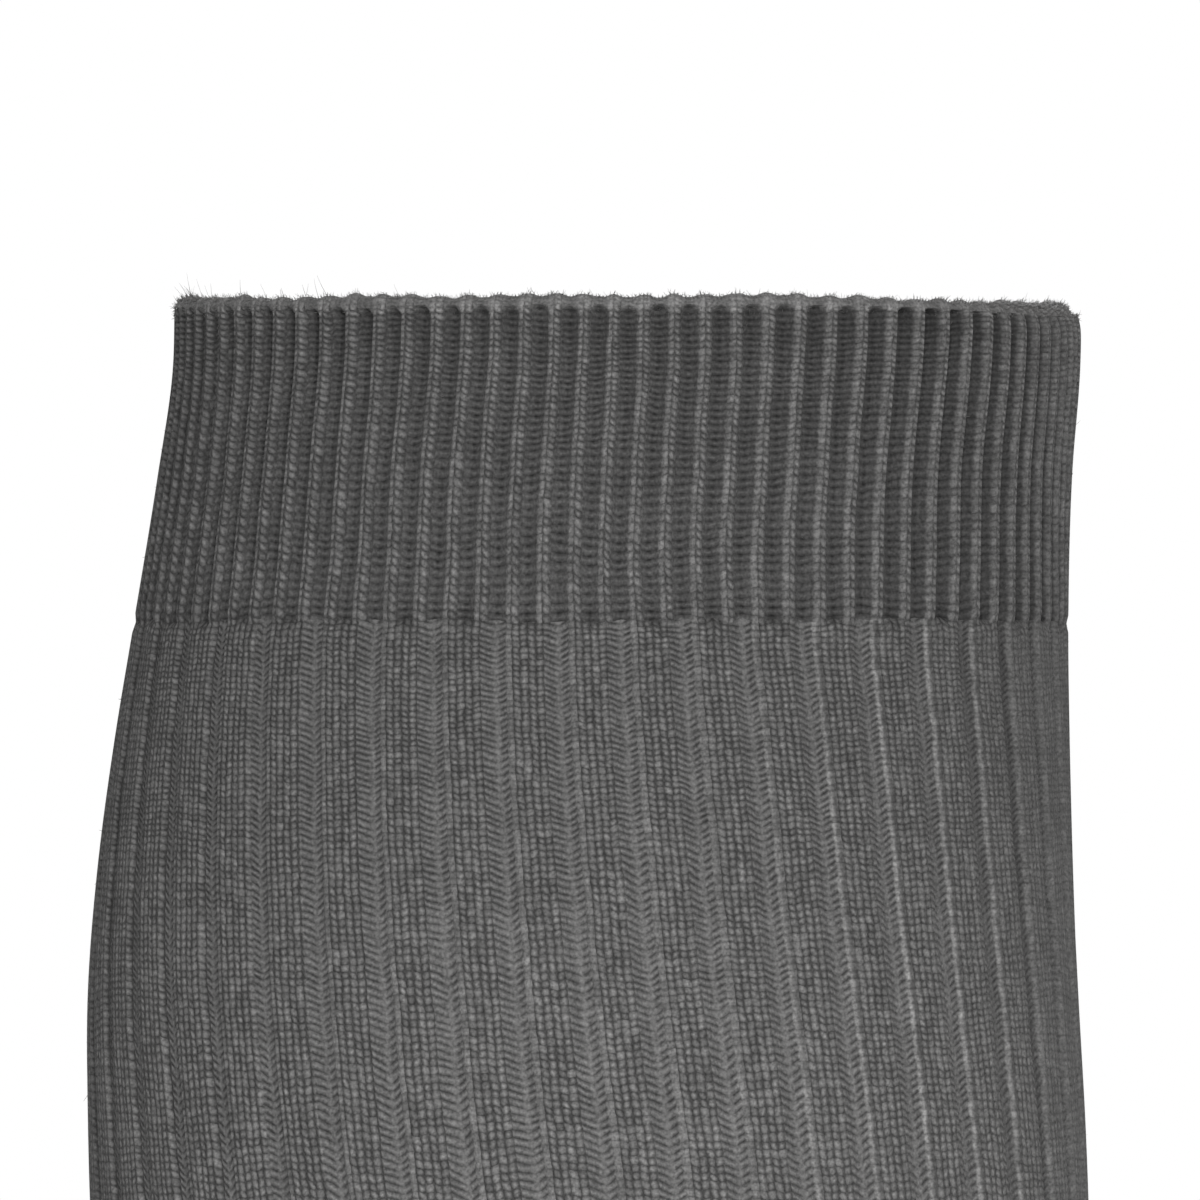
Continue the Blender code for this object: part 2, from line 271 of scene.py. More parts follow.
# Where a worn sock bends over the instep and slackens behind the ankle.
TUBE_CREASES = (
    Crease(0.00, 291.0, 0.21, 5.0, 3.4, 0.75),
    Crease(0.02, 298.5, 0.24, 6.0, 3.0, -0.45),
    Crease(-0.01, 306.0, 0.23, 7.0, 3.2, 0.95),
    Crease(0.01, 313.5, 0.26, 7.0, 2.8, -0.40),
    Crease(-0.02, 320.5, 0.20, 6.0, 3.0, 0.70),
    Crease(0.03, 276.0, 0.15, 4.0, 3.6, 0.40),
    Crease(0.50, 283.0, 0.15, -4.0, 3.6, 0.55),
    Crease(0.47, 291.0, 0.13, -3.0, 3.0, -0.30),
    Crease(0.52, 300.0, 0.17, -5.0, 3.4, 0.65),
    Crease(0.26, 268.0, 0.12, 5.0, 3.8, 0.35),
    Crease(0.73, 259.0, 0.13, -4.0, 3.8, 0.40),
    Crease(0.24, 304.0, 0.10, 7.0, 3.4, 0.35),
    Crease(0.77, 300.0, 0.11, -7.0, 3.4, 0.38),
)
FOOT_CREASES = (
    Crease(0.00, 7.0, 0.20, -5.0, 3.2, 0.55),
    Crease(0.02, 96.0, 0.16, -3.0, 4.0, 0.30),
    Crease(-0.03, 105.0, 0.14, -4.0, 3.6, -0.20),
)


def smooth_step(low: float, high: float, value: np.ndarray) -> np.ndarray:
    """A soft ramp from 0 at low to 1 at high.

    Args:
        low: Value at and below which the ramp is 0.
        high: Value at and above which the ramp is 1.
        value: Where the ramp is read.

    Returns:
        The ramp, in the shape of value.
    """
    part = np.clip((value - low) / (high - low), 0.0, 1.0)
    return part * part * (3.0 - 2.0 * part)


def bell(middle: float, width: float, value: np.ndarray) -> np.ndarray:
    """A soft bump of height 1 about its middle, of that width on each side."""
    return np.exp(-(((value - middle) / width) ** 2))


def unit(vectors: np.ndarray) -> np.ndarray:
    """The vectors along the last axis, each made of length 1."""
    return vectors / np.linalg.norm(vectors, axis=-1, keepdims=True)


def run_lengths(points: np.ndarray) -> np.ndarray:
    """Length from the first row of points to each row, along every line of them."""
    steps = np.linalg.norm(np.diff(points, axis=0), axis=-1)
    return np.concatenate([np.zeros_like(steps[:1]), np.cumsum(steps, axis=0)])


def through(table: np.ndarray, knots: np.ndarray, places: np.ndarray) -> np.ndarray:
    """Rows between those of a table, on smooth curves through it.

    Args:
        table: The rows that the curves run through.
        knots: Where each row of the table lies along the curves.
        places: Where rows are wanted.

    Returns:
        One row for each place.
    """
    slopes = np.gradient(table, knots, axis=0)
    index = np.clip(np.searchsorted(knots, places, side="right") - 1, 0, len(knots) - 2)
    gap = (knots[index + 1] - knots[index])[:, None]
    part = (places - knots[index])[:, None] / gap
    return (
        (2 * part**3 - 3 * part**2 + 1) * table[index]
        + (part**3 - 2 * part**2 + part) * gap * slopes[index]
        + (3 * part**2 - 2 * part**3) * table[index + 1]
        + (part**3 - part**2) * gap * slopes[index + 1]
    )


def from_front(shares: np.ndarray) -> np.ndarray:
    """Shares of the girth, counted both ways from the front line."""
    return (shares + 0.5) % 1.0 - 0.5


def from_purl(wales: np.ndarray, repeat: int) -> np.ndarray:
    """How far each wale is from a purl wale, one standing at each multiple of the repeat."""
    return np.abs((wales + repeat / 2) % repeat - repeat / 2)


def slow_waves(seed: int, count: int, place: np.ndarray, lengths: Sequence[float]) -> np.ndarray:
    """Smooth, unlike waves for each of several strands.

    Args:
        seed: Seed of the waves' phases.
        count: How many strands there are.
        place: Where along a strand the waves are read, in millimetres.
        lengths: The wavelengths that are added up, in millimetres.

    Returns:
        An array of (places, strands), from about -1 to 1.
    """
    draw = np.random.default_rng(seed)
    total = np.zeros((len(place), count))
    for length in lengths:
        phase = draw.uniform(0.0, 2.0 * math.pi, count)
        stretch = draw.uniform(0.8, 1.25, count)
        total += np.sin(2.0 * math.pi * place[:, None] / (length * stretch) + phase)
    return total / len(lengths)


def on_strands(strands: np.ndarray, position: np.ndarray) -> np.ndarray:
    """Reads values that belong to strands round a ring at places between them.

    Args:
        strands: Values of (rows, strands), each strand at its own whole number.
        position: The places round the ring, counted in strands.

    Returns:
        An array of (rows, places).
    """
    count = strands.shape[1]
    lower = np.floor(position).astype(int)
    part = position - lower
    return strands[:, lower % count] * (1.0 - part) + strands[:, (lower + 1) % count] * part


def quarter_line(
    centre: tuple[float, float], tip: tuple[float, float], half_width: float, square: float
) -> np.ndarray:
    """Points from a ring's front or back line to its side line, even in length.

    Args:
        centre: The side line's x and z.
        tip: The front or back line's x and z.
        half_width: Half of the ring's width.
        square: How square the quarter is, 2 being an ellipse.

    Returns:
        An array of points on the +Y side.
    """
    angle = np.linspace(0.0, math.pi / 2, QUARTER_SAMPLES + 1)
    along = np.cos(angle) ** (2 / square)
    across = np.sin(angle) ** (2 / square)
    points = np.stack(
        [
            centre[0] + (tip[0] - centre[0]) * along,
            half_width * across,
            centre[1] + (tip[1] - centre[1]) * along,
        ],
        axis=1,
    )
    length = run_lengths(points)
    wanted = np.linspace(0.0, length[-1], QUARTER_STEPS + 1)
    return np.stack([np.interp(wanted, length, points[:, axis]) for axis in range(3)], axis=1)


def ring_points(section: Section, shares: np.ndarray) -> np.ndarray:
    """Points of a ring at shares of its girth, counted from the front line over +Y."""
    centre = (section.side_x, section.side_z)
    front = quarter_line(centre, (section.front_x, section.front_z), section.half_width, 2.0)
    back = quarter_line(
        centre, (section.back_x, section.back_z), section.half_width, section.square
    )
    half = np.concatenate([front, back[::-1][1:]])
    outline = np.concatenate([half, half[::-1][1:] * np.array([1.0, -1.0, 1.0])])
    spread = np.linspace(0.0, 1.0, len(outline))
    turned = (shares + section.turn / 360.0) % 1.0
    return np.stack([np.interp(turned, spread, outline[:, axis]) for axis in range(3)], axis=1)


class Skin(NamedTuple):
    """A face of a piece. Loose fibres grow from the outer ones."""

    points: np.ndarray
    normals: np.ndarray


@dataclass(frozen=True)
class Form:
    """A smooth skin through a table of rings."""

    sections: tuple[Section, ...]

    def knots(self) -> np.ndarray:
        """Distance of each ring down the form, the mean of its front, side and back."""
        table = np.array(self.sections)
        lines = [table[:, column : column + 2] for column in (0, 2, 4)]
        steps = [np.linalg.norm(np.diff(line, axis=0), axis=1) for line in lines]
        return np.concatenate([[0.0], np.cumsum(np.mean(steps, axis=0))])

    def section_at(self, distances: np.ndarray) -> list[Section]:
        """Rings between those of the table, on smooth curves through it.

        Args:
            distances: Distances down the form, in millimetres.

        Returns:
            One section for each distance.
        """
        rows = through(np.array(self.sections), self.knots(), distances)
        return [Section(*row) for row in rows]

    def points(self, distances: np.ndarray, shares: np.ndarray) -> np.ndarray:
        """Points on the form.

        Args:
            distances: Distances down the form, one for each row.
            shares: Shares of the girth, one row of them or one for each distance.

        Returns:
            An array of (rows, columns, 3), in millimetres.
        """
        rows = np.broadcast_to(shares, (len(distances), shares.shape[-1]))
        return np.array(
            [ring_points(section, row) for section, row in zip(self.section_at(distances), rows)]
        )

    def normals(self, distances: np.ndarray, shares: np.ndarray) -> np.ndarray:
        """Outward unit normals of the form, at the same places as its points."""
        reach, span = 0.4, 0.002
        ends = self.knots()[[0, -1]]
        upper = self.points(np.clip(distances - reach, *ends), shares)
        lower = self.points(np.clip(distances + reach, *ends), shares)
        before = self.points(distances, shares - span)
        after = self.points(distances, shares + span)
        return unit(np.cross(lower - upper, after - before))

    def sunk(self, distances: np.ndarray, shares: np.ndarray, depth: np.ndarray) -> Skin:
        """A face that lies under the form.

        Args:
            distances: Distances down the form, one for each row.
            shares: Shares of the girth, one row for each distance.
            depth: How far under the form each point lies.

        Returns:
            The points, and the form's outward normals over them.
        """
        normals = self.normals(distances, shares)
        return Skin(self.points(distances, shares) - normals * depth[:, :, None], normals)


def as_section(level: Level) -> Section:
    """A level ring as a section, its side line halfway between front and back."""
    middle = (level.front + level.back) / 2
    return Section(
        level.front, level.z, middle, level.z, level.back, level.z, level.half_width, 2.0, level.turn
    )


TUBE = Form(tuple(as_section(level) for level in LEVELS) + ANKLE_SECTIONS)
SHOE_LENGTH = Form(FOOT_SECTIONS)


def course_at(distance: np.ndarray) -> np.ndarray:
    """The course number at distances down the sock."""
    starts = np.array([run.start for run in COURSE_RUNS])
    pitches = np.array([run.pitch for run in COURSE_RUNS])
    counts = np.concatenate([[0.0], np.cumsum(np.diff(starts) / (pitches[1:] + pitches[:-1]) * 2)])
    return np.interp(distance, starts, counts)


TUBE_END = TUBE.knots()[-1]
FOOT_END = SHOE_LENGTH.knots()[-1]
HEEL_COURSE = course_at(TUBE_END)


@dataclass(frozen=True)
class RibRelief:
    """How the ribs stand out of the cloth, in millimetres."""

    welt_top: float = 1.3
    welt_bottom: float = 0.75
    leg: float = 0.66
    gather: float = 0.4
    wale_dip: float = 0.09
    join_pinch: float = 0.22
    unevenness: float = 0.14
    dip_width: float = 0.14  # in wales, as are the places of the dips

    def channel(self, wales: np.ndarray, repeat: int, floor: float, shoulder: float) -> np.ndarray:
        """1 on the floor of each repeat's purl channel and 0 past its shoulders.

        Args:
            wales: Wale numbers, a purl wale standing at each multiple of the repeat.
            repeat: Wales in a repeat.
            floor: Half width of the floor, in wales.
            shoulder: Where the full height begins, in wales from the channel's middle.

        Returns:
            The share of the channel's depth, in the shape of wales.
        """
        return 1.0 - smooth_step(floor, shoulder, from_purl(wales, repeat))

    def closing(self, wales: np.ndarray, shoulder: float) -> np.ndarray:
        """1 in those channels of the welt that the leg doesn't carry on."""
        carried_on = self.channel(wales, RIB_REPEAT, 0.35, 0.72)
        return self.channel(wales, WELT_REPEAT, 0.35, shoulder) * (1.0 - carried_on)

    def depth(self, wales: np.ndarray, distances: np.ndarray) -> np.ndarray:
        """How far the surface lies under the tops of the ribs.

        Args:
            wales: Wale numbers of the columns.
            distances: Distances of the rows down the tube.

        Returns:
            An array of (rows, columns).
        """
        down = distances[:, None]
        welt_depth = np.interp(down, [0.0, WELT_END], [self.welt_top, self.welt_bottom])
        welt_depth = welt_depth * (0.08 + 0.92 * channel_start(wales, down))
        welt_depth = welt_depth * (1.0 + self.gather * gathered(wales / NEEDLES))
        leg = smooth_step(WELT_END - 0.4, WELT_END + 0.9, down)
        welt_channel = self.channel(wales, WELT_REPEAT, *WELT_GROOVE)
        leg_channel = self.channel(wales, RIB_REPEAT, *LEG_GROOVE)
        off = from_purl(wales, RIB_REPEAT)
        wide = self.dip_width
        dips = bell(1.0, wide, off) + bell(2.0, wide, off) + 0.4 * bell(1.5, wide, off)
        uneven = 1.0 + self.unevenness * on_strands(
            slow_waves(Seed.UNEVENNESS, NEEDLES // 2, distances, (9.0, 23.0)), wales / 2.0
        )
        sunk = welt_channel * welt_depth * (1.0 - leg)
        leg = leg * (1.0 + self.gather * gathered(wales / NEEDLES))
        sunk = (sunk + leg_channel * self.leg * leg) * uneven + dips * self.wale_dip * leg
        pinch = bell(WELT_END + 0.3, 0.6, down) * self.join_pinch
        return sunk + pinch * (1.0 - 0.7 * leg_channel)


def channel_start(wales: np.ndarray, down: np.ndarray) -> np.ndarray:
    """0 on the fold and 1 once the welt's channels are sunk, their tops arched and unlike."""
    off = from_purl(wales, WELT_REPEAT)
    draw = np.random.default_rng(Seed.CHANNEL_TOPS)
    late = on_strands(draw.uniform(-0.30, 0.30, (1, NEEDLES // 2)), wales / 2.0)
    top = 1.15 + 0.70 * np.clip(off / 0.6, 0.0, 1.0) ** 2 + late - 0.3 * gathered(wales / NEEDLES)
    return np.clip((down - top) / 0.5, 0.0, 1.0)


def join_jag(wales: np.ndarray, distances: np.ndarray) -> np.ndarray:
    """How far the join of welt and leg strays upwards, as an array of (rows, columns)."""
    draw = np.random.default_rng(Seed.JOIN)
    stray = draw.uniform(-0.24, 0.24, (1, NEEDLES)) + 0.16 * np.cos(math.pi * np.arange(NEEDLES))
    return on_strands(stray, wales) * bell(WELT_END, 1.5, distances)[:, None]


def gathered(shares: np.ndarray) -> np.ndarray:
    """How closely the ribs stand over the shin, where the cloth is stretched least."""
    return bell(0.0, 0.13, from_front(shares))


def napped(shares: np.ndarray) -> np.ndarray:
    """How far the stitches are lost in the nap, most of all over the shin and the calf."""
    over_shin = bell(0.0, 0.065, from_front(shares))
    return 0.55 * over_shin + 0.35 * bell(0.5, 0.06, shares)


def painted_flank_light(shares: np.ndarray) -> np.ndarray:
    """Painted light on the rib's flank beside each purl wale: a highlight, and a shadow after it.

    It is below 0 over the calf, where the flank is turned from the light: the line is lost and the flank
    is painted darker.
    """
    flank_light = smooth_step(0.79, 0.90, shares) * (1.0 - smooth_step(0.94, 0.98, shares))
    return flank_light - 0.9 * (1.0 - smooth_step(0.12, 0.22, np.abs(shares - 0.5)))


def front_ease(shares: np.ndarray, distances: np.ndarray) -> np.ndarray:
    """How much the mouth is eased off over the shin, from 0 to 1, of (rows, columns)."""
    near = bell(0.0, 0.075, from_front(shares))
    return near * (np.clip(1.0 - distances / 5.0, 0.0, 1.0) ** 2.5)[:, None]


def drawn(wales: np.ndarray, distances: np.ndarray) -> np.ndarray:
    """Shares of the girth where wales lie once the leg has drawn them round it."""
    knots = [pull.distance for pull in PULLS]
    places = np.broadcast_to(wales, (len(distances), len(wales))).copy()
    for index, wave in enumerate(np.array([pull.waves for pull in PULLS]).T):
        reach = np.interp(distances, knots, wave)[:, None]
        places += reach * np.sin(2.0 * math.pi * (index + 1) * wales / NEEDLES)
    return places / NEEDLES


def swayed(wales: np.ndarray, distances: np.ndarray) -> np.ndarray:
    """The same shares, with each rib a little astray of its line as well."""
    waves = slow_waves(Seed.SWAY, NEEDLES // 2, distances, (13.0, 31.0, 67.0))
    return drawn(wales, distances) + 0.075 * on_strands(waves, wales / 2.0) / NEEDLES


def crease_depth(
    creases: Sequence[Crease], shares: np.ndarray, distances: np.ndarray
) -> np.ndarray:
    """How far creases sink the cloth, as an array of (rows, columns), in millimetres."""
    total = np.zeros((len(distances), len(shares)))
    for crease in creases:
        off = from_front(shares - crease.share)
        fade = np.clip(1.0 - (off / crease.span) ** 2, 0.0, 1.0) ** 2
        reach = np.abs(off) / crease.span
        wander = 1.2 * np.sin(off * 43.0 + crease.distance)
        middle = crease.distance + crease.rise * (reach**2) + wander
        total += crease.depth * fade * bell(middle, crease.width, distances[:, None])
    return total


def wall_under_welt(distances: np.ndarray) -> np.ndarray:
    """The wall below the welt, doubled at first and settling to one layer."""
    settled = np.clip((distances - WELT_END) / WALL_SETTLE, 0.0, 1.0)
    return WELT_WALL + (LEG_WALL - WELT_WALL) * settled


def tucked(edge: np.ndarray, before: np.ndarray, normals: np.ndarray) -> np.ndarray:
    """A row that carries an edge on, under the edge of the cloth beside it.

    Args:
        edge: The points along the edge.
        before: The row of points before them.
        normals: The outward normals of the edge.

    Returns:
        The points of the new row.
    """
    return edge + TUCK_ALONG * unit(edge - before) - TUCK_UNDER * normals


class Ends(Enum):
    """How the columns of a wall end round the ring."""

    RING = "closed round the leg"
    HALF = "drawn in to a corner on each side"


@dataclass
class Wall:
    """Rows of points that go down a piece's outside and come back up its inside.

    knit holds the wale and course of each point, with one column more than the points
    where the ring is closed, so that the numbers don't jump back at the last stitch.
    """

    name: str
    rows: np.ndarray
    knit: np.ndarray
    outer_count: int
    ends: Ends = Ends.RING
    tips: tuple[np.ndarray, np.ndarray] | None = None
    masks: dict[str, np.ndarray] = field(default_factory=dict)

    def bake_rows(self) -> np.ndarray:
        """Height of each row on the flat layout that the finish is painted on."""
        steps = np.ones(len(self.rows))
        steps[self.outer_count :] = INSIDE_HEIGHT
        steps[-1] = 1.0
        heights = np.concatenate([[0.0], np.cumsum(steps)])
        return LAYOUT_TOP - LAYOUT_HEIGHT * heights / heights[-1]

    def fans(
        self, spans: int, layout: np.ndarray
    ) -> tuple[list[tuple[int, ...]], np.ndarray, np.ndarray]:
        """Triangles that close the first ring and the last over the tips.

        Args:
            spans: Faces round a ring.
            layout: Heights of the rows on the flat layout.

        Returns:
            The triangles, and the knit numbers and flat places of their corners.
        """
        count, width = self.rows.shape[:2]
        triangles, numbers, flat = [], [], []
        ends = ((0, count * width, LAYOUT_MARGIN), (count - 1, count * width + 1, -LAYOUT_MARGIN))
        for ring, tip, lift in ends:
            edge = layout[ring]
            for step in range(spans):
                pair = [step, step + 1] if ring == 0 else [step + 1, step]
                triangles.append((tip, *(ring * width + place % width for place in pair)))
                corners = self.knit[ring, pair]
                numbers += [corners.mean(axis=0), *corners]
                across = [LAYOUT_MARGIN + LAYOUT_WIDTH * place / spans for place in pair]
                flat += [(sum(across) / 2, edge + lift), (across[0], edge), (across[1], edge)]
        return triangles, np.array(numbers), np.array(flat)

    def mesh(self) -> bpy.types.Mesh:
        """The closed wall as a mesh with its knit numbers and its flat layout."""
        count, width = self.rows.shape[:2]
        spans = width if self.ends is Ends.RING else width - 1
        loop = self.tips is None
        profile = count if loop else count - 1
        row = np.repeat(np.arange(profile), spans)
        column = np.tile(np.arange(spans), profile)
        below, beside = (row + 1) % count, (column + 1) % width
        faces = np.stack(
            [row * width + column, below * width + column, below * width + beside, row * width + beside],
            axis=1,
        )
        layout = self.bake_rows()
        corner_rows = np.stack([row, row + 1, row + 1, row], axis=1)
        corner_columns = np.stack([column, column, column + 1, column + 1], axis=1)
        knit = np.concatenate([self.knit, self.knit[:1]])
        numbers = knit[corner_rows, corner_columns].reshape(-1, 2)
        across = LAYOUT_MARGIN + LAYOUT_WIDTH * corner_columns / spans
        flat = np.stack([across, layout[corner_rows]], axis=2).reshape(-1, 2)
        points = self.rows.reshape(-1, 3)
        polygons = [tuple(face) for face in faces.tolist()]
        if not loop:
            points = np.concatenate([points, np.stack(self.tips)])
            triangles, tip_numbers, tip_flat = self.fans(spans, layout)
            polygons += triangles
            numbers = np.concatenate([numbers, tip_numbers])
            flat = np.concatenate([flat, tip_flat])
        data = bpy.data.meshes.new(self.name)
        data.from_pydata((points * MM).tolist(), [], polygons)
        for layer_name, values in (("knit", numbers), ("OFBake", flat)):
            layer = data.uv_layers.new(name=layer_name)
            layer.data.foreach_set("uv", np.ascontiguousarray(values, dtype=np.float32).ravel())
        for mask_name, values in self.masks.items():
            spread = values.ravel()
            if not loop:
                spread = np.concatenate([spread, [values[0].mean(), values[-1].mean()]])
            mask = data.attributes.new(mask_name, "FLOAT", "POINT")
            mask.data.foreach_set("value", spread.astype(np.float32))
        return data


def turned_out(data: bpy.types.Mesh) -> None:
    """Merges points that coincide and turns every face outwards.

    Args:
        data: The mesh of one closed wall.
    """
    work = bmesh.new()
    work.from_mesh(data)
    bmesh.ops.remove_doubles(work, verts=work.verts[:], dist=WELD_DISTANCE)
    work.normal_update()
    if work.calc_volume(signed=True) < 0.0:
        bmesh.ops.reverse_faces(work, faces=work.faces[:])
    work.to_mesh(data)
    work.free()


class Sums:
    """Adds nodes that reckon with numbers to a node tree, one for each call."""

    def __init__(self, tree: bpy.types.NodeTree) -> None:
        """Keeps the tree that the nodes are added to."""
        self.tree = tree

    def node(self, kind: str, values: dict[int | str, Term], **settings: object) -> bpy.types.Node:
        """One node.

        Args:
            kind: The node's type.
            values: A number or a socket for each input, by its index or its name.
            settings: The node's own settings.

        Returns:
            The node.
        """
        node = self.tree.nodes.new(kind)
        for name, setting in settings.items():
            setattr(node, name, setting)
        for key, value in values.items():
            if isinstance(value, Socket):
                self.tree.links.new(value, node.inputs[key])
            else:
                node.inputs[key].default_value = value
        return node

    def do(self, operation: str, *values: Term) -> Socket:
        """The outcome of one Math node with these inputs."""
        return self.node("ShaderNodeMath", dict(enumerate(values)), operation=operation).outputs[0]

    def times(self, first: Term, second: Term) -> Socket:
        """The product."""
        return self.do("MULTIPLY", first, second)

    def scaled(self, value: Term, gain: Term, base: Term) -> Socket:
        """value * gain + base."""
        return self.do("MULTIPLY_ADD", value, gain, base)

    def plus(self, first: Term, second: Term) -> Socket:
        """The sum."""
        return self.do("ADD", first, second)

    def minus(self, first: Term, second: Term) -> Socket:
        """first without second."""
        return self.do("SUBTRACT", first, second)

    def blend(self, part: Term, first: Term, second: Term) -> Socket:
        """first where part is 0 and second where it is 1."""
        values = {0: part, 2: first, 3: second}
        node = self.node("ShaderNodeMix", values, data_type="FLOAT", clamp_factor=True)
        return node.outputs[0]

    def ramp(self, value: Socket, low: float, high: float) -> Socket:
        """A soft ramp from 0 at low to 1 at high."""
        values = {"Value": value, "From Min": low, "From Max": high}
        return self.node("ShaderNodeMapRange", values, interpolation_type="SMOOTHSTEP").outputs[0]

    def join(self, x: Term, y: Term, z: Term) -> Socket:
        """A vector of three numbers."""
        return self.node("ShaderNodeCombineXYZ", {0: x, 1: y, 2: z}).outputs[0]

    def noise(self, vector: Socket, scale: float, detail: float) -> Socket:
        """Smooth noise about 0.5."""
        values = {"Vector": vector, "Scale": scale, "Detail": detail}
        return self.node("ShaderNodeTexNoise", values).outputs[0]

    def chance(self, vector: Socket) -> Socket:
        """A number from 0 to 1 that differs for each vector."""
        node = self.node("ShaderNodeTexWhiteNoise", {"Vector": vector}, noise_dimensions="3D")
        return node.outputs["Value"]


@dataclass(frozen=True)
class Stitch:
    """How the stitches of one knit are drawn, each field an input of the stitch group.

    Lengths across the knit are in wales and those along it in courses.
    """

    repeat: float = RIB_REPEAT
    split: float = 0.5  # where the two legs of a plain stitch part
    left_slant: float = 0.16
    right_slant: float = 0.24
    join: float = 0.40  # how far the drawn-out column's beads run together
    touch: float = 0.97  # how far a leg's bead stays off the next wale's
    parted: float = 0.72  # how far it stays off those above and below
    band_left: float = 1.0  # reach of the purl band on each side
    band_right: float = 0.55
    curl: float = 0.90  # how far a purl loop hangs down
    stroke: float = 1.7  # how thin the painted shade between the loops is
    stroke_middle: float = 0.32  # and how dark, in the band's middle and beside it
    stroke_side: float = 0.85
    plain_floor: float = 0.45  # painted shade between the beads, and how much lighter a bead's top is painted
    plain_gain: float = 1.00
    purl_floor: float = 0.45  # the same for the loops
    purl_gain: float = 0.86


VECTOR_INPUTS = ("knit", "place")
MASK_INPUTS = ("ribbed", "brushed", "flank_light")

# Scales of the noise over the cloth, in periods to a metre.
HAIR_SCALE = 3000.0
FUZZ_SCALE = 3400.0
PATCH_SCALE = 130.0

# The third number of a vector that chance is drawn from, so that no two draws are alike.
LEG_DRAW, STREAK_DRAW, LOOP_DRAW, LIFT_DRAW, LOOSE_DRAW, BAR_DRAW = 3.0, 4.0, 5.0, 7.0, 8.0, 9.0


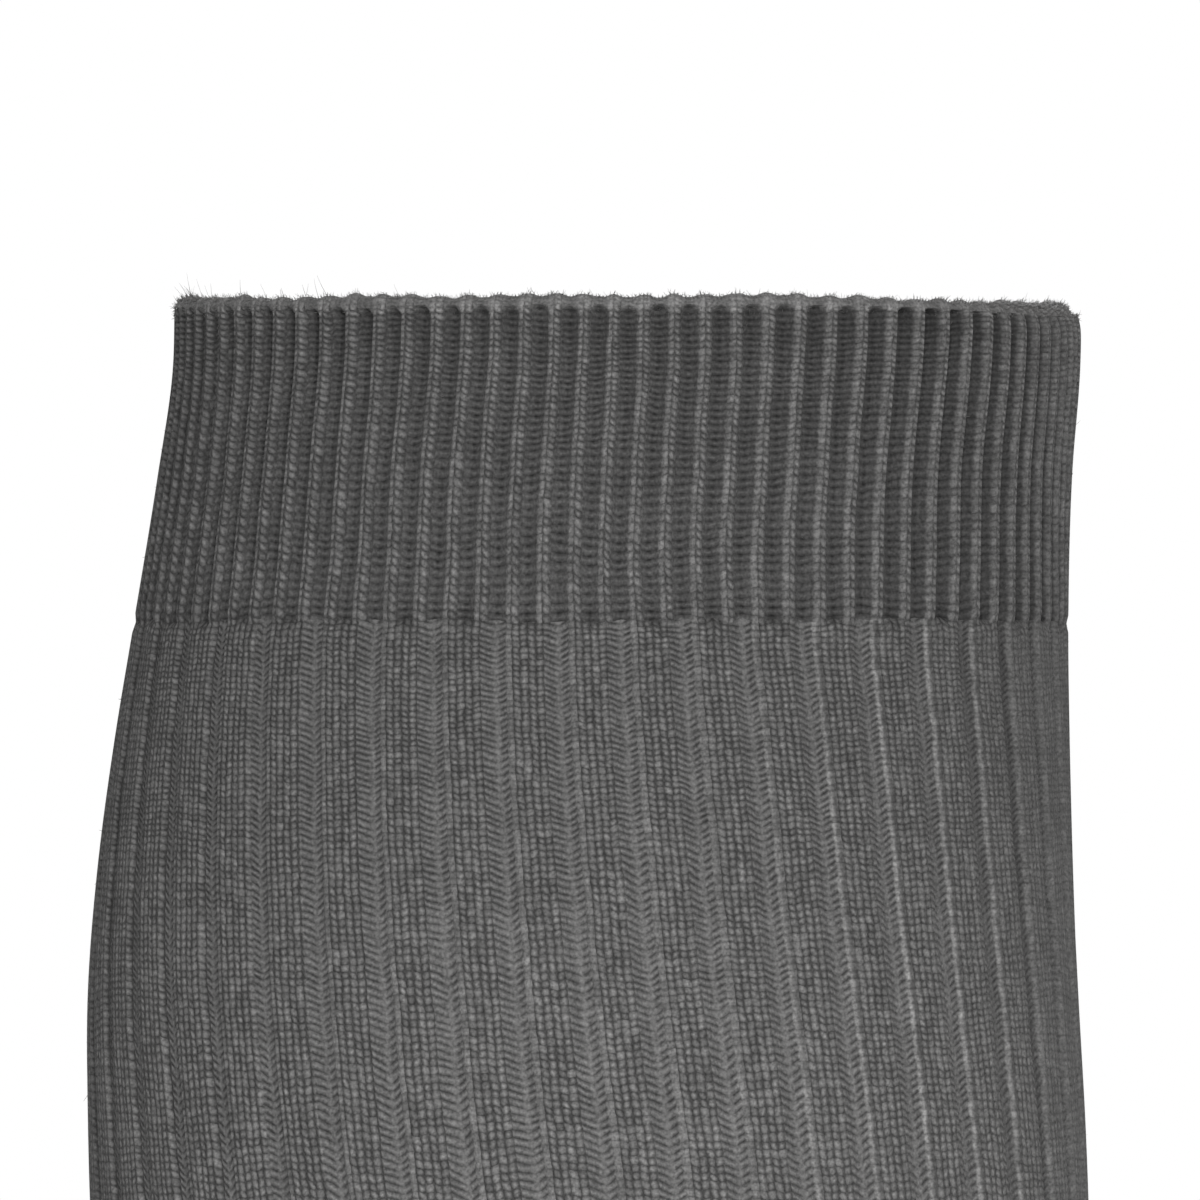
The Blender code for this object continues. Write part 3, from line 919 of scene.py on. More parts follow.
class StitchPattern:
    """The stitches as a shader node group that reads the knit's wale and course numbers.

    A plain stitch shows two legs, each a rounded bead in its own column. Round every purl
    wale the courses hang in a band of soft loops, and the first column after the band is
    drawn out so that its beads join up.
    """

    def __init__(self) -> None:
        """Makes the group with its inputs and outputs, and no stitches yet."""
        self.tree = bpy.data.node_groups.new("stitches", "ShaderNodeTree")
        sides = [("INPUT", "Vector", name) for name in VECTOR_INPUTS]
        sides += [("INPUT", "Float", name) for name in (*MASK_INPUTS, *asdict(Stitch()))]
        sides += [("OUTPUT", "Float", name) for name in ("height", "shade")]
        for side, kind, name in sides:
            self.tree.interface.new_socket(name=name, in_out=side, socket_type="NodeSocket" + kind)
        self.given = self.tree.nodes.new("NodeGroupInput").outputs
        self.sums = Sums(self.tree)

    def build(self) -> bpy.types.NodeTree:
        """Draws the stitches in the group, and returns it."""
        tree, sums, given = self.tree, self.sums, self.given
        result = tree.nodes.new("NodeGroupOutput")
        split = tree.nodes.new("ShaderNodeSeparateXYZ")
        tree.links.new(given["knit"], split.inputs[0])
        wale, course = self.strayed(split.outputs[0], split.outputs[1])
        half = sums.times(given["repeat"], 0.5)
        beyond = sums.do("FLOORED_MODULO", sums.plus(wale, half), given["repeat"])
        beside = sums.minus(beyond, half)
        bead, own = self.bead(wale, course, beside)
        loop, band = self.loop(course, beside)
        lively = sums.scaled(own, 0.38, 0.81)
        # painted shade between the beads and loops, lighter on their tops
        plain = sums.scaled(bead, given["plain_gain"], given["plain_floor"])
        plain = sums.times(plain, lively)
        purl = sums.scaled(loop, given["purl_gain"], given["purl_floor"])
        shade = sums.blend(band, plain, purl)
        shade = sums.times(shade, self.flank_light_line(beside))
        shade = sums.blend(given["brushed"], shade, 0.9)
        hairs = sums.scaled(sums.noise(given["place"], HAIR_SCALE, 3.0), 1.9, 0.05)
        patches = sums.scaled(sums.noise(given["place"], PATCH_SCALE, 2.0), 0.20, 0.90)
        yarn = sums.do("FLOOR", sums.plus(split.outputs[1], 0.5))
        bar = sums.scaled(sums.chance(sums.join(0.0, yarn, BAR_DRAW)), 0.06, 0.97)
        along = sums.join(sums.times(wale, 2.3), sums.times(course, 0.13), STREAK_DRAW)
        streaks = sums.scaled(sums.noise(along, 1.0, 1.0), 0.5, 0.75)
        patches = sums.times(patches, streaks)
        shade = sums.times(shade, hairs)
        shade = sums.times(shade, sums.times(patches, bar))
        height = sums.blend(given["brushed"], sums.blend(band, bead, loop), 0.5)
        height = sums.scaled(sums.noise(given["place"], FUZZ_SCALE, 2.0), 0.16, height)
        tree.links.new(height, result.inputs["height"])
        tree.links.new(shade, result.inputs["shade"])
        return tree

    def flank_light_line(self, beside: Socket) -> Socket:
        """The painted highlight on the rib's flank right of each purl wale, and the painted shadow after
        it.
        """
        sums, given = self.sums, self.given
        parts = []
        for place, reach in ((0.62, 0.12), (0.86, 0.20)):
            off = sums.do("ABSOLUTE", sums.minus(beside, place))
            parts.append(sums.ramp(off, reach, 0.03))
        bright = sums.times(sums.times(parts[0], 0.50), given["flank_light"])
        shadow = sums.times(parts[1], sums.do("MAXIMUM", given["flank_light"], 0.0))
        return sums.plus(sums.scaled(shadow, -0.42, bright), 1.0)

    def strayed(self, wale: Socket, course: Socket) -> tuple[Socket, Socket]:
        """Wale and course numbers, a little astray as hand-pulled cloth leaves them."""
        sums, given = self.sums, self.given
        shift = sums.noise(given["knit"], 0.55, 1.0)
        slow = sums.join(wale, sums.times(course, 0.4), LIFT_DRAW)
        lift = sums.noise(slow, 0.9, 1.0)
        wale = sums.scaled(sums.minus(shift, 0.5), 0.16, wale)
        course = sums.scaled(sums.minus(lift, 0.5), 0.6, course)
        return wale, course

    def bead(self, wale: Socket, course: Socket, beside: Socket) -> tuple[Socket, Socket]:
        """The plain stitches' legs, and a number from 0 to 1 of each leg's own."""
        sums, given = self.sums, self.given
        index = sums.do("FLOOR", sums.plus(wale, 0.5))
        across = sums.minus(sums.plus(wale, 0.5), index)
        right = sums.do("GREATER_THAN", across, given["split"])
        left_part = sums.minus(1.0, sums.do("DIVIDE", across, given["split"]))
        right_room = sums.minus(1.0, given["split"])
        right_part = sums.do("DIVIDE", sums.minus(across, given["split"]), right_room)
        away = sums.blend(right, left_part, right_part)
        slant = sums.blend(right, given["left_slant"], given["right_slant"])
        phase = sums.minus(course, sums.times(slant, away))
        stitch = sums.do("FLOOR", sums.plus(phase, 0.5))
        along = sums.times(sums.minus(phase, stitch), 2.0)
        aside = sums.scaled(away, 2.0, -1.0)
        after = sums.times(sums.do("GREATER_THAN", beside, 0.0), given["ribbed"])
        first = sums.times(after, sums.do("LESS_THAN", beside, 1.0))
        lead = sums.times(first, sums.minus(1.0, right))
        # the drawn-out column loses its join where the flank is painted as shade
        lead = sums.times(lead, sums.do("MINIMUM", sums.plus(given["flank_light"], 1.0), 1.0))
        apart = sums.minus(1.0, sums.times(lead, given["join"]))
        apart = sums.times(apart, given["parted"])
        reach = sums.times(sums.times(along, along), apart)
        touching = sums.blend(sums.do("GREATER_THAN", aside, 0.0), 1.0, given["touch"])
        touching = sums.times(touching, sums.scaled(lead, -0.6, 1.0))
        reach = sums.scaled(sums.times(aside, aside), touching, reach)
        leg = sums.scaled(right, 0.5, index)
        loose = sums.scaled(sums.chance(sums.join(leg, stitch, LOOSE_DRAW)), 0.60, 0.66)
        reach = sums.times(reach, loose)
        dome = sums.do("MAXIMUM", sums.scaled(reach, -0.94, 1.0), 0.0)
        own = sums.chance(sums.join(leg, stitch, LEG_DRAW))
        return sums.do("POWER", dome, 0.9), own

    def loop(self, course: Socket, beside: Socket) -> tuple[Socket, Socket]:
        """The purl wale's hanging loops, and where their band lies."""
        sums, given = self.sums, self.given
        after = sums.do("GREATER_THAN", beside, 0.0)
        # over the calf, where the flank is painted as shade, the band is drawn narrower on its left
        calf_shading = sums.scaled(sums.do("MINIMUM", given["flank_light"], 0.0), 0.62, 1.0)
        room = sums.blend(after, given["band_left"], given["band_right"])
        room = sums.blend(after, sums.times(room, calf_shading), room)
        off = sums.do("ABSOLUTE", beside)
        rounded = sums.do("SQRT", sums.scaled(off, off, 0.02))
        share = sums.do("DIVIDE", rounded, room)
        hang = sums.times(sums.minus(1.0, share), given["curl"])
        phase = sums.minus(course, hang)
        stitch = sums.do("FLOOR", sums.plus(phase, 0.5))
        along = sums.do("ABSOLUTE", sums.times(sums.minus(phase, stitch), 2.0))
        dark = sums.do("POWER", along, given["stroke"])
        aside = sums.ramp(sums.do("DIVIDE", off, room), 0.05, 0.45)
        strength = sums.blend(aside, given["stroke_middle"], given["stroke_side"])
        own = sums.scaled(sums.chance(sums.join(stitch, 0.0, LOOP_DRAW)), 0.4, 0.8)
        loop = sums.minus(1.0, sums.times(sums.times(dark, strength), own))
        inside = sums.ramp(sums.minus(room, off), -0.06, 0.06)
        return loop, sums.times(inside, given["ribbed"])


def new_material(name: str, values: dict[str, object]) -> bpy.types.Material:
    """A material whose shader has these values in its inputs.

    Args:
        name: The material's name.
        values: The values, by the names of the shader's inputs.

    Returns:
        The material.
    """
    made = bpy.data.materials.new(name)
    made.use_nodes = True
    shader = made.node_tree.nodes["Principled BSDF"]
    for key, value in values.items():
        shader.inputs[key].default_value = value
    return made


@dataclass(frozen=True)
class KnitFinish:
    """One knit of the sock: its yarn colour, stitches and relief."""

    name: str
    colour: tuple[float, float, float]
    stitch: Stitch = Stitch()
    relief: float = 0.34  # in millimetres
    roughness: float = 0.92
    specular: float = 0.22
    sheen: float = 0.08
    sheen_roughness: float = 0.55
    sheen_tint: tuple[float, float, float] = (0.72, 0.71, 0.70)

    def material(self, stitches: bpy.types.NodeTree) -> bpy.types.Material:
        """The finish as a procedural material.

        Args:
            stitches: The node group that draws the stitches.

        Returns:
            A material that reads the piece's knit numbers.
        """
        values = {
            "Roughness": self.roughness,
            "Metallic": 0.0,
            "Specular IOR Level": self.specular,
            "Sheen Weight": self.sheen,
            "Sheen Roughness": self.sheen_roughness,
            "Sheen Tint": (*self.sheen_tint, 1.0),
        }
        made = new_material(self.name, values)
        tree = made.node_tree
        shader = tree.nodes["Principled BSDF"]
        group = tree.nodes.new("ShaderNodeGroup")
        group.node_tree = stitches
        numbers = tree.nodes.new("ShaderNodeUVMap")
        numbers.uv_map = "knit"
        place = tree.nodes.new("ShaderNodeTexCoord")
        tree.links.new(numbers.outputs["UV"], group.inputs["knit"])
        tree.links.new(place.outputs["Object"], group.inputs["place"])
        for name in MASK_INPUTS:
            tree.links.new(self.mask(tree, name), group.inputs[name])
        for name, value in asdict(self.stitch).items():
            group.inputs[name].default_value = value
        sums = Sums(tree)
        # the stitches' painted shade and yarn variation, times the piece's painted shading
        painted_shading = sums.times(group.outputs["shade"], self.mask(tree, "painted_shading"))
        dye = sums.node("ShaderNodeVectorMath", {0: self.colour, "Scale": painted_shading}, operation="SCALE")
        tree.links.new(dye.outputs[0], shader.inputs["Base Color"])
        heights = {"Strength": 1.0, "Distance": self.relief * MM, "Height": group.outputs["height"]}
        bump = sums.node("ShaderNodeBump", heights)
        tree.links.new(bump.outputs["Normal"], shader.inputs["Normal"])
        return made

    def mask(self, tree: bpy.types.NodeTree, name: str) -> Socket:
        """The number that the piece carries under that name."""
        node = tree.nodes.new("ShaderNodeAttribute")
        node.attribute_name = name
        return node.outputs["Fac"]


WELT_STITCH = Stitch(
    repeat=WELT_REPEAT,
    split=0.45,
    left_slant=0.20,
    right_slant=0.42,
    join=0.35,
    parted=0.98,
    band_left=0.54,
    band_right=0.58,
    curl=0.22,
    stroke=1.2,
    stroke_middle=0.96,
    stroke_side=0.62,
    plain_floor=0.58,
    plain_gain=0.88,
    purl_floor=0.21,
    purl_gain=0.76,
)
WELT_FINISH = KnitFinish("welt_knit_grey", (0.1006, 0.0993, 0.0984), WELT_STITCH)
LEG_FINISH = KnitFinish("leg_knit_grey", (0.1061, 0.1048, 0.1036))
POCKET_FINISH = KnitFinish("pocket_knit_grey", (0.112, 0.1107, 0.1094), Stitch(plain_floor=0.56))


@dataclass(frozen=True)
class FibreFinish:
    """The loose fibres' colour, the yarn's painted lighter as it looks against the light."""

    name: str = "loose_fibre_grey"
    colour: tuple[float, float, float] = (0.16, 0.157, 0.154)
    roughness: float = 0.9
    specular: float = 0.2

    def material(self) -> bpy.types.Material:
        """The finish as a plain matt material."""
        values = {
            "Base Color": (*self.colour, 1.0),
            "Roughness": self.roughness,
            "Specular IOR Level": self.specular,
        }
        return new_material(self.name, values)


class Wardrobe(NamedTuple):
    """The finishes, made once for all pieces."""

    welt: bpy.types.Material
    leg: bpy.types.Material
    pocket: bpy.types.Material
    fibre: bpy.types.Material


def make_wardrobe() -> Wardrobe:
    """Makes the materials of the sock."""
    stitches = StitchPattern().build()
    return Wardrobe(
        WELT_FINISH.material(stitches),
        LEG_FINISH.material(stitches),
        POCKET_FINISH.material(stitches),
        FibreFinish().material(),
    )


class Cut(NamedTuple):
    """The flat size of a piece before it is put on, in metres."""

    width: float
    length: float


def placed(name: str, data: bpy.types.ID) -> bpy.types.Object:
    """A new object in the scene with that mesh, light or lens."""
    made = bpy.data.objects.new(name, data)
    bpy.context.scene.collection.objects.link(made)
    return made


def dress(
    name: str,
    data: bpy.types.Mesh,
    material: bpy.types.Material,
    nodes: Sequence[str],
) -> bpy.types.Object:
    """Makes a wall's mesh a piece of the sock that stands for its solids.

    Args:
        name: The piece's name.
        data: Its mesh, in place.
        material: Its finish.
        nodes: The solids that it stands for.

    Returns:
        The finished piece.
    """
    turned_out(data)
    data.shade_smooth()
    data.set_sharp_from_angle(angle=math.radians(SHARP_ANGLE))
    data.materials.append(material)
    piece = placed(name, data)
    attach(piece, BODY)
    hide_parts(*nodes)
    LOG.info("%s: %d faces", piece.name, len(data.polygons))
    return piece


def columns_round() -> np.ndarray:
    """Wale numbers of the columns of a closed ring."""
    return np.arange(NEEDLES * COLUMNS_PER_WALE) / COLUMNS_PER_WALE


def knit_numbers(wales: np.ndarray, courses: np.ndarray) -> np.ndarray:
    """Wale and course numbers for rows and columns, the ring's first wale repeated last."""
    lasting = np.append(wales, wales[0] + NEEDLES)
    strands = slow_waves(Seed.DRIFT, NEEDLES // 4, courses, (26.0, 61.0)) * 0.7
    drift = on_strands(strands, lasting / 4.0)
    return np.stack(np.broadcast_arrays(lasting[None, :], courses[:, None] + drift), axis=2)


@dataclass
class Welt:
    """The turned welt in 1x1 rib, with its rounded, scalloped fold at the mouth."""

    relief: RibRelief
    row_step: float = 0.72
    top_step: float = 0.26
    top_end: float = 3.6
    inner_rows: int = 12
    fold_rows: int = 9
    eased_in: float = 1.9  # how far the mouth leans in over the shin
    eased_down: float = 1.5
    fold_light: float = 0.72  # painted highlight on the brushed fold, where its crown faces the light from above
    shadow: float = 0.08  # how dark the painted shadow in the channels is
    shadow_at_fold: float = 0.23  # and how much darker just under the fold
    shadow_at_shin: float = 0.46  # and over the shin
    shadow_limit: float = 0.60
    join_shade: float = 0.06  # painted shade along the last row, all round, at the join with the leg
    closing_shade: float = 0.22  # and in the channels that close there
    # painted shade over the calf, the side turned from the light
    calf_shade: float = 0.25
    fold_nap: float = 0.6  # how far the nap hides the stitches of the fold
    cloth_nap: float = 0.5
    # painted shade on the ribs' flanks over the calf
    calf_flank_shade: float = 0.9
    scallop: float = 0.30  # how far the fold dips at a channel
    cut: Cut = Cut(0.24, 0.037)

    def outer_rows(self) -> np.ndarray:
        """Distances of the outside's rows, close together under the fold."""
        top = np.arange(FOLD_END + 0.2, self.top_end, self.top_step)
        rows = int((WELT_END - self.top_end) / self.row_step) + 1
        return np.concatenate([top, np.linspace(self.top_end, WELT_END, rows)])

    def ease(self, points: np.ndarray, level: np.ndarray, shares: np.ndarray, down: np.ndarray) -> None:
        """Leans rows of points in and down over the shin.

        Args:
            points: Rows of points, moved in place.
            level: The level outward normals of the columns.
            shares: The columns' shares of the girth.
            down: Distances of the rows.
        """
        weight = front_ease(shares, down)[:, :, None]
        points -= weight * self.eased_in * level[None]
        points[:, :, 2] -= weight[:, :, 0] * self.eased_down

    def fold(self, wales: np.ndarray, edge: np.ndarray, normal: np.ndarray) -> np.ndarray:
        """Rows over the fold, from the outside up to the crown and in.

        Args:
            wales: Wale numbers of the columns.
            edge: The form's points at the mouth.
            normal: The level outward normals there.

        Returns:
            An array of (rows, columns, 3).
        """
        angle = np.radians(np.linspace(8.0, 172.0, self.fold_rows))[:, None]
        radius = WELT_WALL / 2
        channel = self.relief.channel(wales, WELT_REPEAT, 0.25, 0.80)
        draw = np.random.default_rng(Seed.SCALLOPS)
        lift = on_strands(draw.uniform(-0.20, 0.20, (1, NEEDLES // 2)), (wales + 1.0) / 2.0)
        lift = lift + on_strands(draw.uniform(-0.09, 0.09, (1, 2 * NEEDLES)), wales * 2.0)
        inward = radius * (1.0 - np.cos(angle)) + 0.13 * channel * np.sin(angle) ** 2
        rise = FOLD_END * (np.sin(angle) - 1.0)
        rise = rise - (self.scallop * channel - lift) * np.sin(angle)
        rows = edge[None] - normal[None] * inward[:, :, None]
        rows[:, :, 2] += rise
        return rows

    def painted_shading(self, wales: np.ndarray, down: np.ndarray, inner_count: int) -> np.ndarray:
        """Painted light and shade on the yarn, of (rows, columns).

        Args:
            wales: Wale numbers of the columns.
            down: Distances of the outside's rows.
            inner_count: How many rows the inside has.

        Returns:
            The factor on the yarn's colour, 1 being as it is.
        """
        crown = self.fold_rows // 2
        outer_rows = slice(crown + 1, crown + 1 + len(down))
        painted_shading = np.ones((self.fold_rows + len(down) + inner_count, len(wales)))
        channel = self.relief.channel(wales, WELT_REPEAT, 0.35, 0.68)
        started = channel_start(wales, down[:, None])
        shadow = self.shadow + self.shadow_at_fold * bell(2.0, 4.0, down)[:, None]
        near_shin = gathered(wales / NEEDLES)
        shadow = np.minimum(shadow + self.shadow_at_shin * near_shin, self.shadow_limit)
        flank = self.relief.channel(wales, WELT_REPEAT, 0.48, 0.86)
        channel_shade = channel + np.clip(1.6 * near_shin, 0.0, 1.0) * (flank - channel)
        # painted shadow in the channels, deepest under the fold and over the shin
        painted_shading[outer_rows] -= shadow * channel_shade * started
        # painted shade along the join with the leg, darkest in the channels that close there
        ending = bell(WELT_END, 0.6, down)[:, None]
        closing = self.closing_shade * self.relief.closing(wales, 0.68)
        painted_shading[outer_rows] -= ending * (self.join_shade + closing)
        # painted highlight on the fold and just under it
        lit = self.fold_light * (1.0 - 0.45 * channel)
        painted_shading[outer_rows] += lit * (1.0 - started) * bell(0.8, 1.6, down)[:, None]
        painted_shading[: crown + 1] += lit
        painted_shading[outer_rows.stop + inner_count :] += self.fold_light / 2
        # painted shade over the calf, the side turned from the light
        return painted_shading * (1.0 - self.calf_shade * bell(0.5, 0.15, wales / NEEDLES))

    def brushed(self, wales: np.ndarray, down: np.ndarray, shape: tuple[int, int]) -> np.ndarray:
        """How far the stitches are lost in the nap, most of all on the fold."""
        crown = self.fold_rows // 2
        started = channel_start(wales, down[:, None])
        brushed = np.zeros(shape)
        brushed[: crown + 1] = self.fold_nap
        under_fold = 1.0 - smooth_step(1.0, 2.0, down)[:, None]
        brushed[crown + 1 : crown + 1 + len(down)] = self.fold_nap * (1.0 - started) * under_fold
        return np.maximum(brushed, self.cloth_nap * napped(wales / NEEDLES))

    def build(self, wardrobe: Wardrobe) -> Skin:
        """Models and dresses the welt, and returns its outer face."""
        wales = columns_round()
        down = self.outer_rows()
        outer, normals = TUBE.sunk(down, swayed(wales, down), self.relief.depth(wales, down))
        outer[:, :, 2] += join_jag(wales, down)
        start = np.zeros(1)
        first = swayed(wales, start)
        edge = TUBE.points(start, first)[0]
        level = unit(TUBE.normals(start, first)[0] * np.array([1.0, 1.0, 0.0]))
        fold = self.fold(wales, edge, level)
        inside = np.linspace(WELT_END, FOLD_END + 0.6, self.inner_rows)
        inner_wall = WELT_WALL - 0.30 * self.relief.channel(wales, WELT_REPEAT, 0.3, 0.74)
        inner = TUBE.sunk(inside, drawn(wales, inside), inner_wall[None]).points
        at_mouth = np.zeros(self.fold_rows)
        for points, distances in ((fold, at_mouth), (outer, down), (inner, inside)):
            self.ease(points, level, wales / NEEDLES, distances)
        crown = self.fold_rows // 2
        profile = np.concatenate([fold[crown::-1], outer, inner, fold[:crown:-1]])
        girth_steps = np.abs(np.arange(self.fold_rows) - crown) * 0.45
        courses = np.concatenate(
            [
                course_at(girth_steps[crown::-1]),
                course_at(down),
                course_at(inside),
                course_at(girth_steps[:crown:-1]),
            ]
        )
        painted_shading = self.painted_shading(wales, down, len(inside))
        # painted shade on the ribs' flanks over the calf
        calf_shading = -self.calf_flank_shade * bell(0.5, 0.17, wales / NEEDLES)
        wall = Wall(
            "cuff",
            profile,
            knit_numbers(wales, courses),
            crown + 1 + len(down),
            masks={
                "painted_shading": painted_shading,
                "ribbed": np.ones_like(painted_shading),
                "brushed": self.brushed(wales, down, painted_shading.shape),
                "flank_light": np.broadcast_to(calf_shading, painted_shading.shape),
            },
        )
        dress("turned_welt", wall.mesh(), wardrobe.welt, ["cuff"])
        skin = np.concatenate([fold[crown::-1], outer])
        skin_normals = np.concatenate([np.broadcast_to(level, fold[crown::-1].shape), normals])
        return Skin(skin, skin_normals)


@dataclass
class RibbedTube:
    """A stretch of the leg in 3x1 rib."""

    name: str
    relief: RibRelief
    start: float
    end: float
    row_step: float
    cut: Cut
    inner_rows: int
    creases: tuple[Crease, ...] = TUBE_CREASES
    join_shade: float = 0.06  # painted shade along the first row, all round, under the welt's edge
    closing_shade: float = 0.36  # and in the channels that close there
    # painted shade in the creases, on the calf and shin sides turned from the light, and in the rib
    # channels
    crease_shade: float = 0.10
    calf_shade: float = 0.12
    shin_shade: float = 0.06
    calf_gap_shade: float = 0.18  # how dark the painted shadow in the channels is over the calf
    shin_gap_shade: float = 0.42
    light_below_welt: float = 0.95  # painted light: the colour's factor just below the welt
    light_gain_down_calf: float = 0.18  # and how much lighter it is painted down the calf, where more light falls
    calf_end: float = 100.0

    def painted_shading(
        self, wales: np.ndarray, down: np.ndarray, inside: np.ndarray, sunk: np.ndarray
    ) -> np.ndarray:
        """Painted light and shade on the yarn, of (rows, columns).

        Args:
            wales: Wale numbers of the columns.
            down: Distances of the outside's rows.
            inside: Distances of the inside's rows.
            sunk: How far creases sink the outside.

        Returns:
            The factor on the yarn's colour, 1 being as it is.
        """
        painted_shading = np.ones((len(down) + len(inside), len(wales)))
        # painted shade along the join under the welt, darkest in the channels that close there
        first = bell(WELT_END, 0.8, down)[:, None]
        closing = self.closing_shade * self.relief.closing(wales, 0.72)
        painted_shading[: len(down)] -= first * (self.join_shade + closing)
        # painted shade in the creases
        painted_shading[: len(down)] -= self.crease_shade * np.clip(sunk, 0.0, 1.0)
        # painted light, lighter down the calf
        lower = smooth_step(WELT_END, self.calf_end, np.concatenate([down, inside]))
        painted_shading *= self.light_below_welt + self.light_gain_down_calf * lower[:, None]
        # painted shade on the calf and shin sides, turned from the light
        over_calf = bell(0.5, 0.15, wales / NEEDLES)
        over_shin = gathered(wales / NEEDLES)
        painted_shading *= 1.0 - self.calf_shade * over_calf - self.shin_shade * over_shin
        # painted shadow in the rib channels near the shin and over the calf
        rib_gap = self.relief.channel(wales, RIB_REPEAT, 0.30, 0.80)
        near_shin = bell(0.955, 0.035, wales / NEEDLES)
        return painted_shading - rib_gap * (self.shin_gap_shade * near_shin + self.calf_gap_shade * over_calf)

    def build(self, wardrobe: Wardrobe) -> Skin:
        """Models and dresses the stretch, and returns its outer face."""
        wales = columns_round()
        end = min(self.end, TUBE_END)
        rows = int((end - self.start) / self.row_step) + 1
        down = np.linspace(self.start, end, rows)
        if self.start == WELT_END:
            down = np.concatenate([self.start + np.array([0.0, 0.3, 0.7]), down[1:]])
        if self.end > end:
            down = np.append(down, end)
        sunk = crease_depth(self.creases, wales / NEEDLES, down)
        depth = self.relief.depth(wales, down) + sunk
        if self.end > end:
            to_heel = 1.0 - smooth_step(0.22, 0.26, np.abs(wales / NEEDLES - 0.5))
            depth *= 1.0 - 0.6 * to_heel * smooth_step(end - 2.5, end, down)[:, None]
        outer, normals = TUBE.sunk(down, swayed(wales, down), depth)
        outer[:, :, 2] += join_jag(wales, down)
        if self.end > end:
            outer[-1] = tucked(outer[-2], outer[-3], normals[-1])
        inside = np.linspace(end, self.start, self.inner_rows)
        creased = crease_depth(self.creases, wales / NEEDLES, inside)
        wall_depth = wall_under_welt(inside)[:, None] + creased
        inner = TUBE.sunk(inside, drawn(wales, inside), wall_depth).points
        courses = np.concatenate([course_at(down), course_at(inside)])
        painted_shading = self.painted_shading(wales, down, inside, sunk)
        wall = Wall(
            self.name,
            np.concatenate([outer, inner]),
            knit_numbers(wales, courses),
            len(down),
            masks={
                "painted_shading": painted_shading,
                "ribbed": np.ones_like(painted_shading),
                "brushed": np.broadcast_to(napped(wales / NEEDLES), painted_shading.shape),
                "flank_light": np.broadcast_to(painted_flank_light(wales / NEEDLES), painted_shading.shape),
            },
        )
        dress("ribbed_" + self.name, wall.mesh(), wardrobe.leg, [self.name])
        return Skin(outer, normals)


@dataclass
class Foot:
    """The tube of the foot, ribbed over the instep and plain under the sole."""

    relief: RibRelief
    row_step: float = 1.35
    cut: Cut = Cut(0.2, 0.13)
    course_pitch: float = 0.92
    fade_start: float = 60.0  # where the instep's ribs begin to sink in
    fade: float = 0.55
    # painted shade along the join with the toe pocket
    end_shade: float = 0.16

    def end(self) -> float:
        """Where the toe pocket begins, in millimetres down the foot's form."""
        return float(SHOE_LENGTH.knots()[TOE_START])

    def depth(self, wales: np.ndarray, down: np.ndarray) -> np.ndarray:
        """How far the instep's channels lie under the cloth's top, row by row."""
        side = np.minimum(wales, NEEDLES - wales)
        instep = 1.0 - smooth_step(NEEDLES / 4 + 0.2, NEEDLES / 4 + 1.2, side)
        channels = self.relief.channel(wales, RIB_REPEAT, *LEG_GROOVE) * self.relief.leg
        fade = 1.0 - self.fade * smooth_step(self.fade_start, self.end() - 4.0, down)[:, None]
        gone = 1.0 - smooth_step(self.end() - 1.5, self.end() - 0.2, down)[:, None]
        sunk = channels * instep * fade * gone
        return sunk + crease_depth(FOOT_CREASES, wales / NEEDLES, down)

    def build(self, wardrobe: Wardrobe) -> Skin:
        """Models and dresses the foot, and returns its outer face."""
        wales = columns_round()
        rows = int(self.end() / self.row_step) + 1
        down = np.append(0.0, np.linspace(0.0, self.end(), rows))
        shares = np.broadcast_to(wales / NEEDLES, (len(down), len(wales)))
        outer, normals = SHOE_LENGTH.sunk(down, shares, self.depth(wales, down))
        outer[0] = tucked(outer[1], outer[2], normals[1])
        inside = np.linspace(self.end(), 0.0, rows // 5 + 1)
        inner_depth = LEG_WALL + crease_depth(FOOT_CREASES, wales / NEEDLES, inside)
        inner = SHOE_LENGTH.sunk(inside, shares[: len(inside)], inner_depth).points
        along = np.concatenate([down, inside])
        courses = HEEL_COURSE + along / self.course_pitch
        side = np.minimum(wales, NEEDLES - wales)
        ribbed = np.broadcast_to(
            np.where(side <= NEEDLES / 4 + 0.6, 1.0, 0.0), (len(along), len(wales))
        )
        painted_shading = np.ones((len(along), len(wales)))
        # painted shade along the join with the toe pocket
        painted_shading -= self.end_shade * bell(self.end(), 0.8, along)[:, None]
        wall = Wall(
            "foot",
            np.concatenate([outer, inner]),
            knit_numbers(wales, courses),
            rows,
            masks={"painted_shading": painted_shading, "ribbed": ribbed},
        )
        dress("foot_tube", wall.mesh(), wardrobe.leg, ["foot"])
        return Skin(outer, normals)


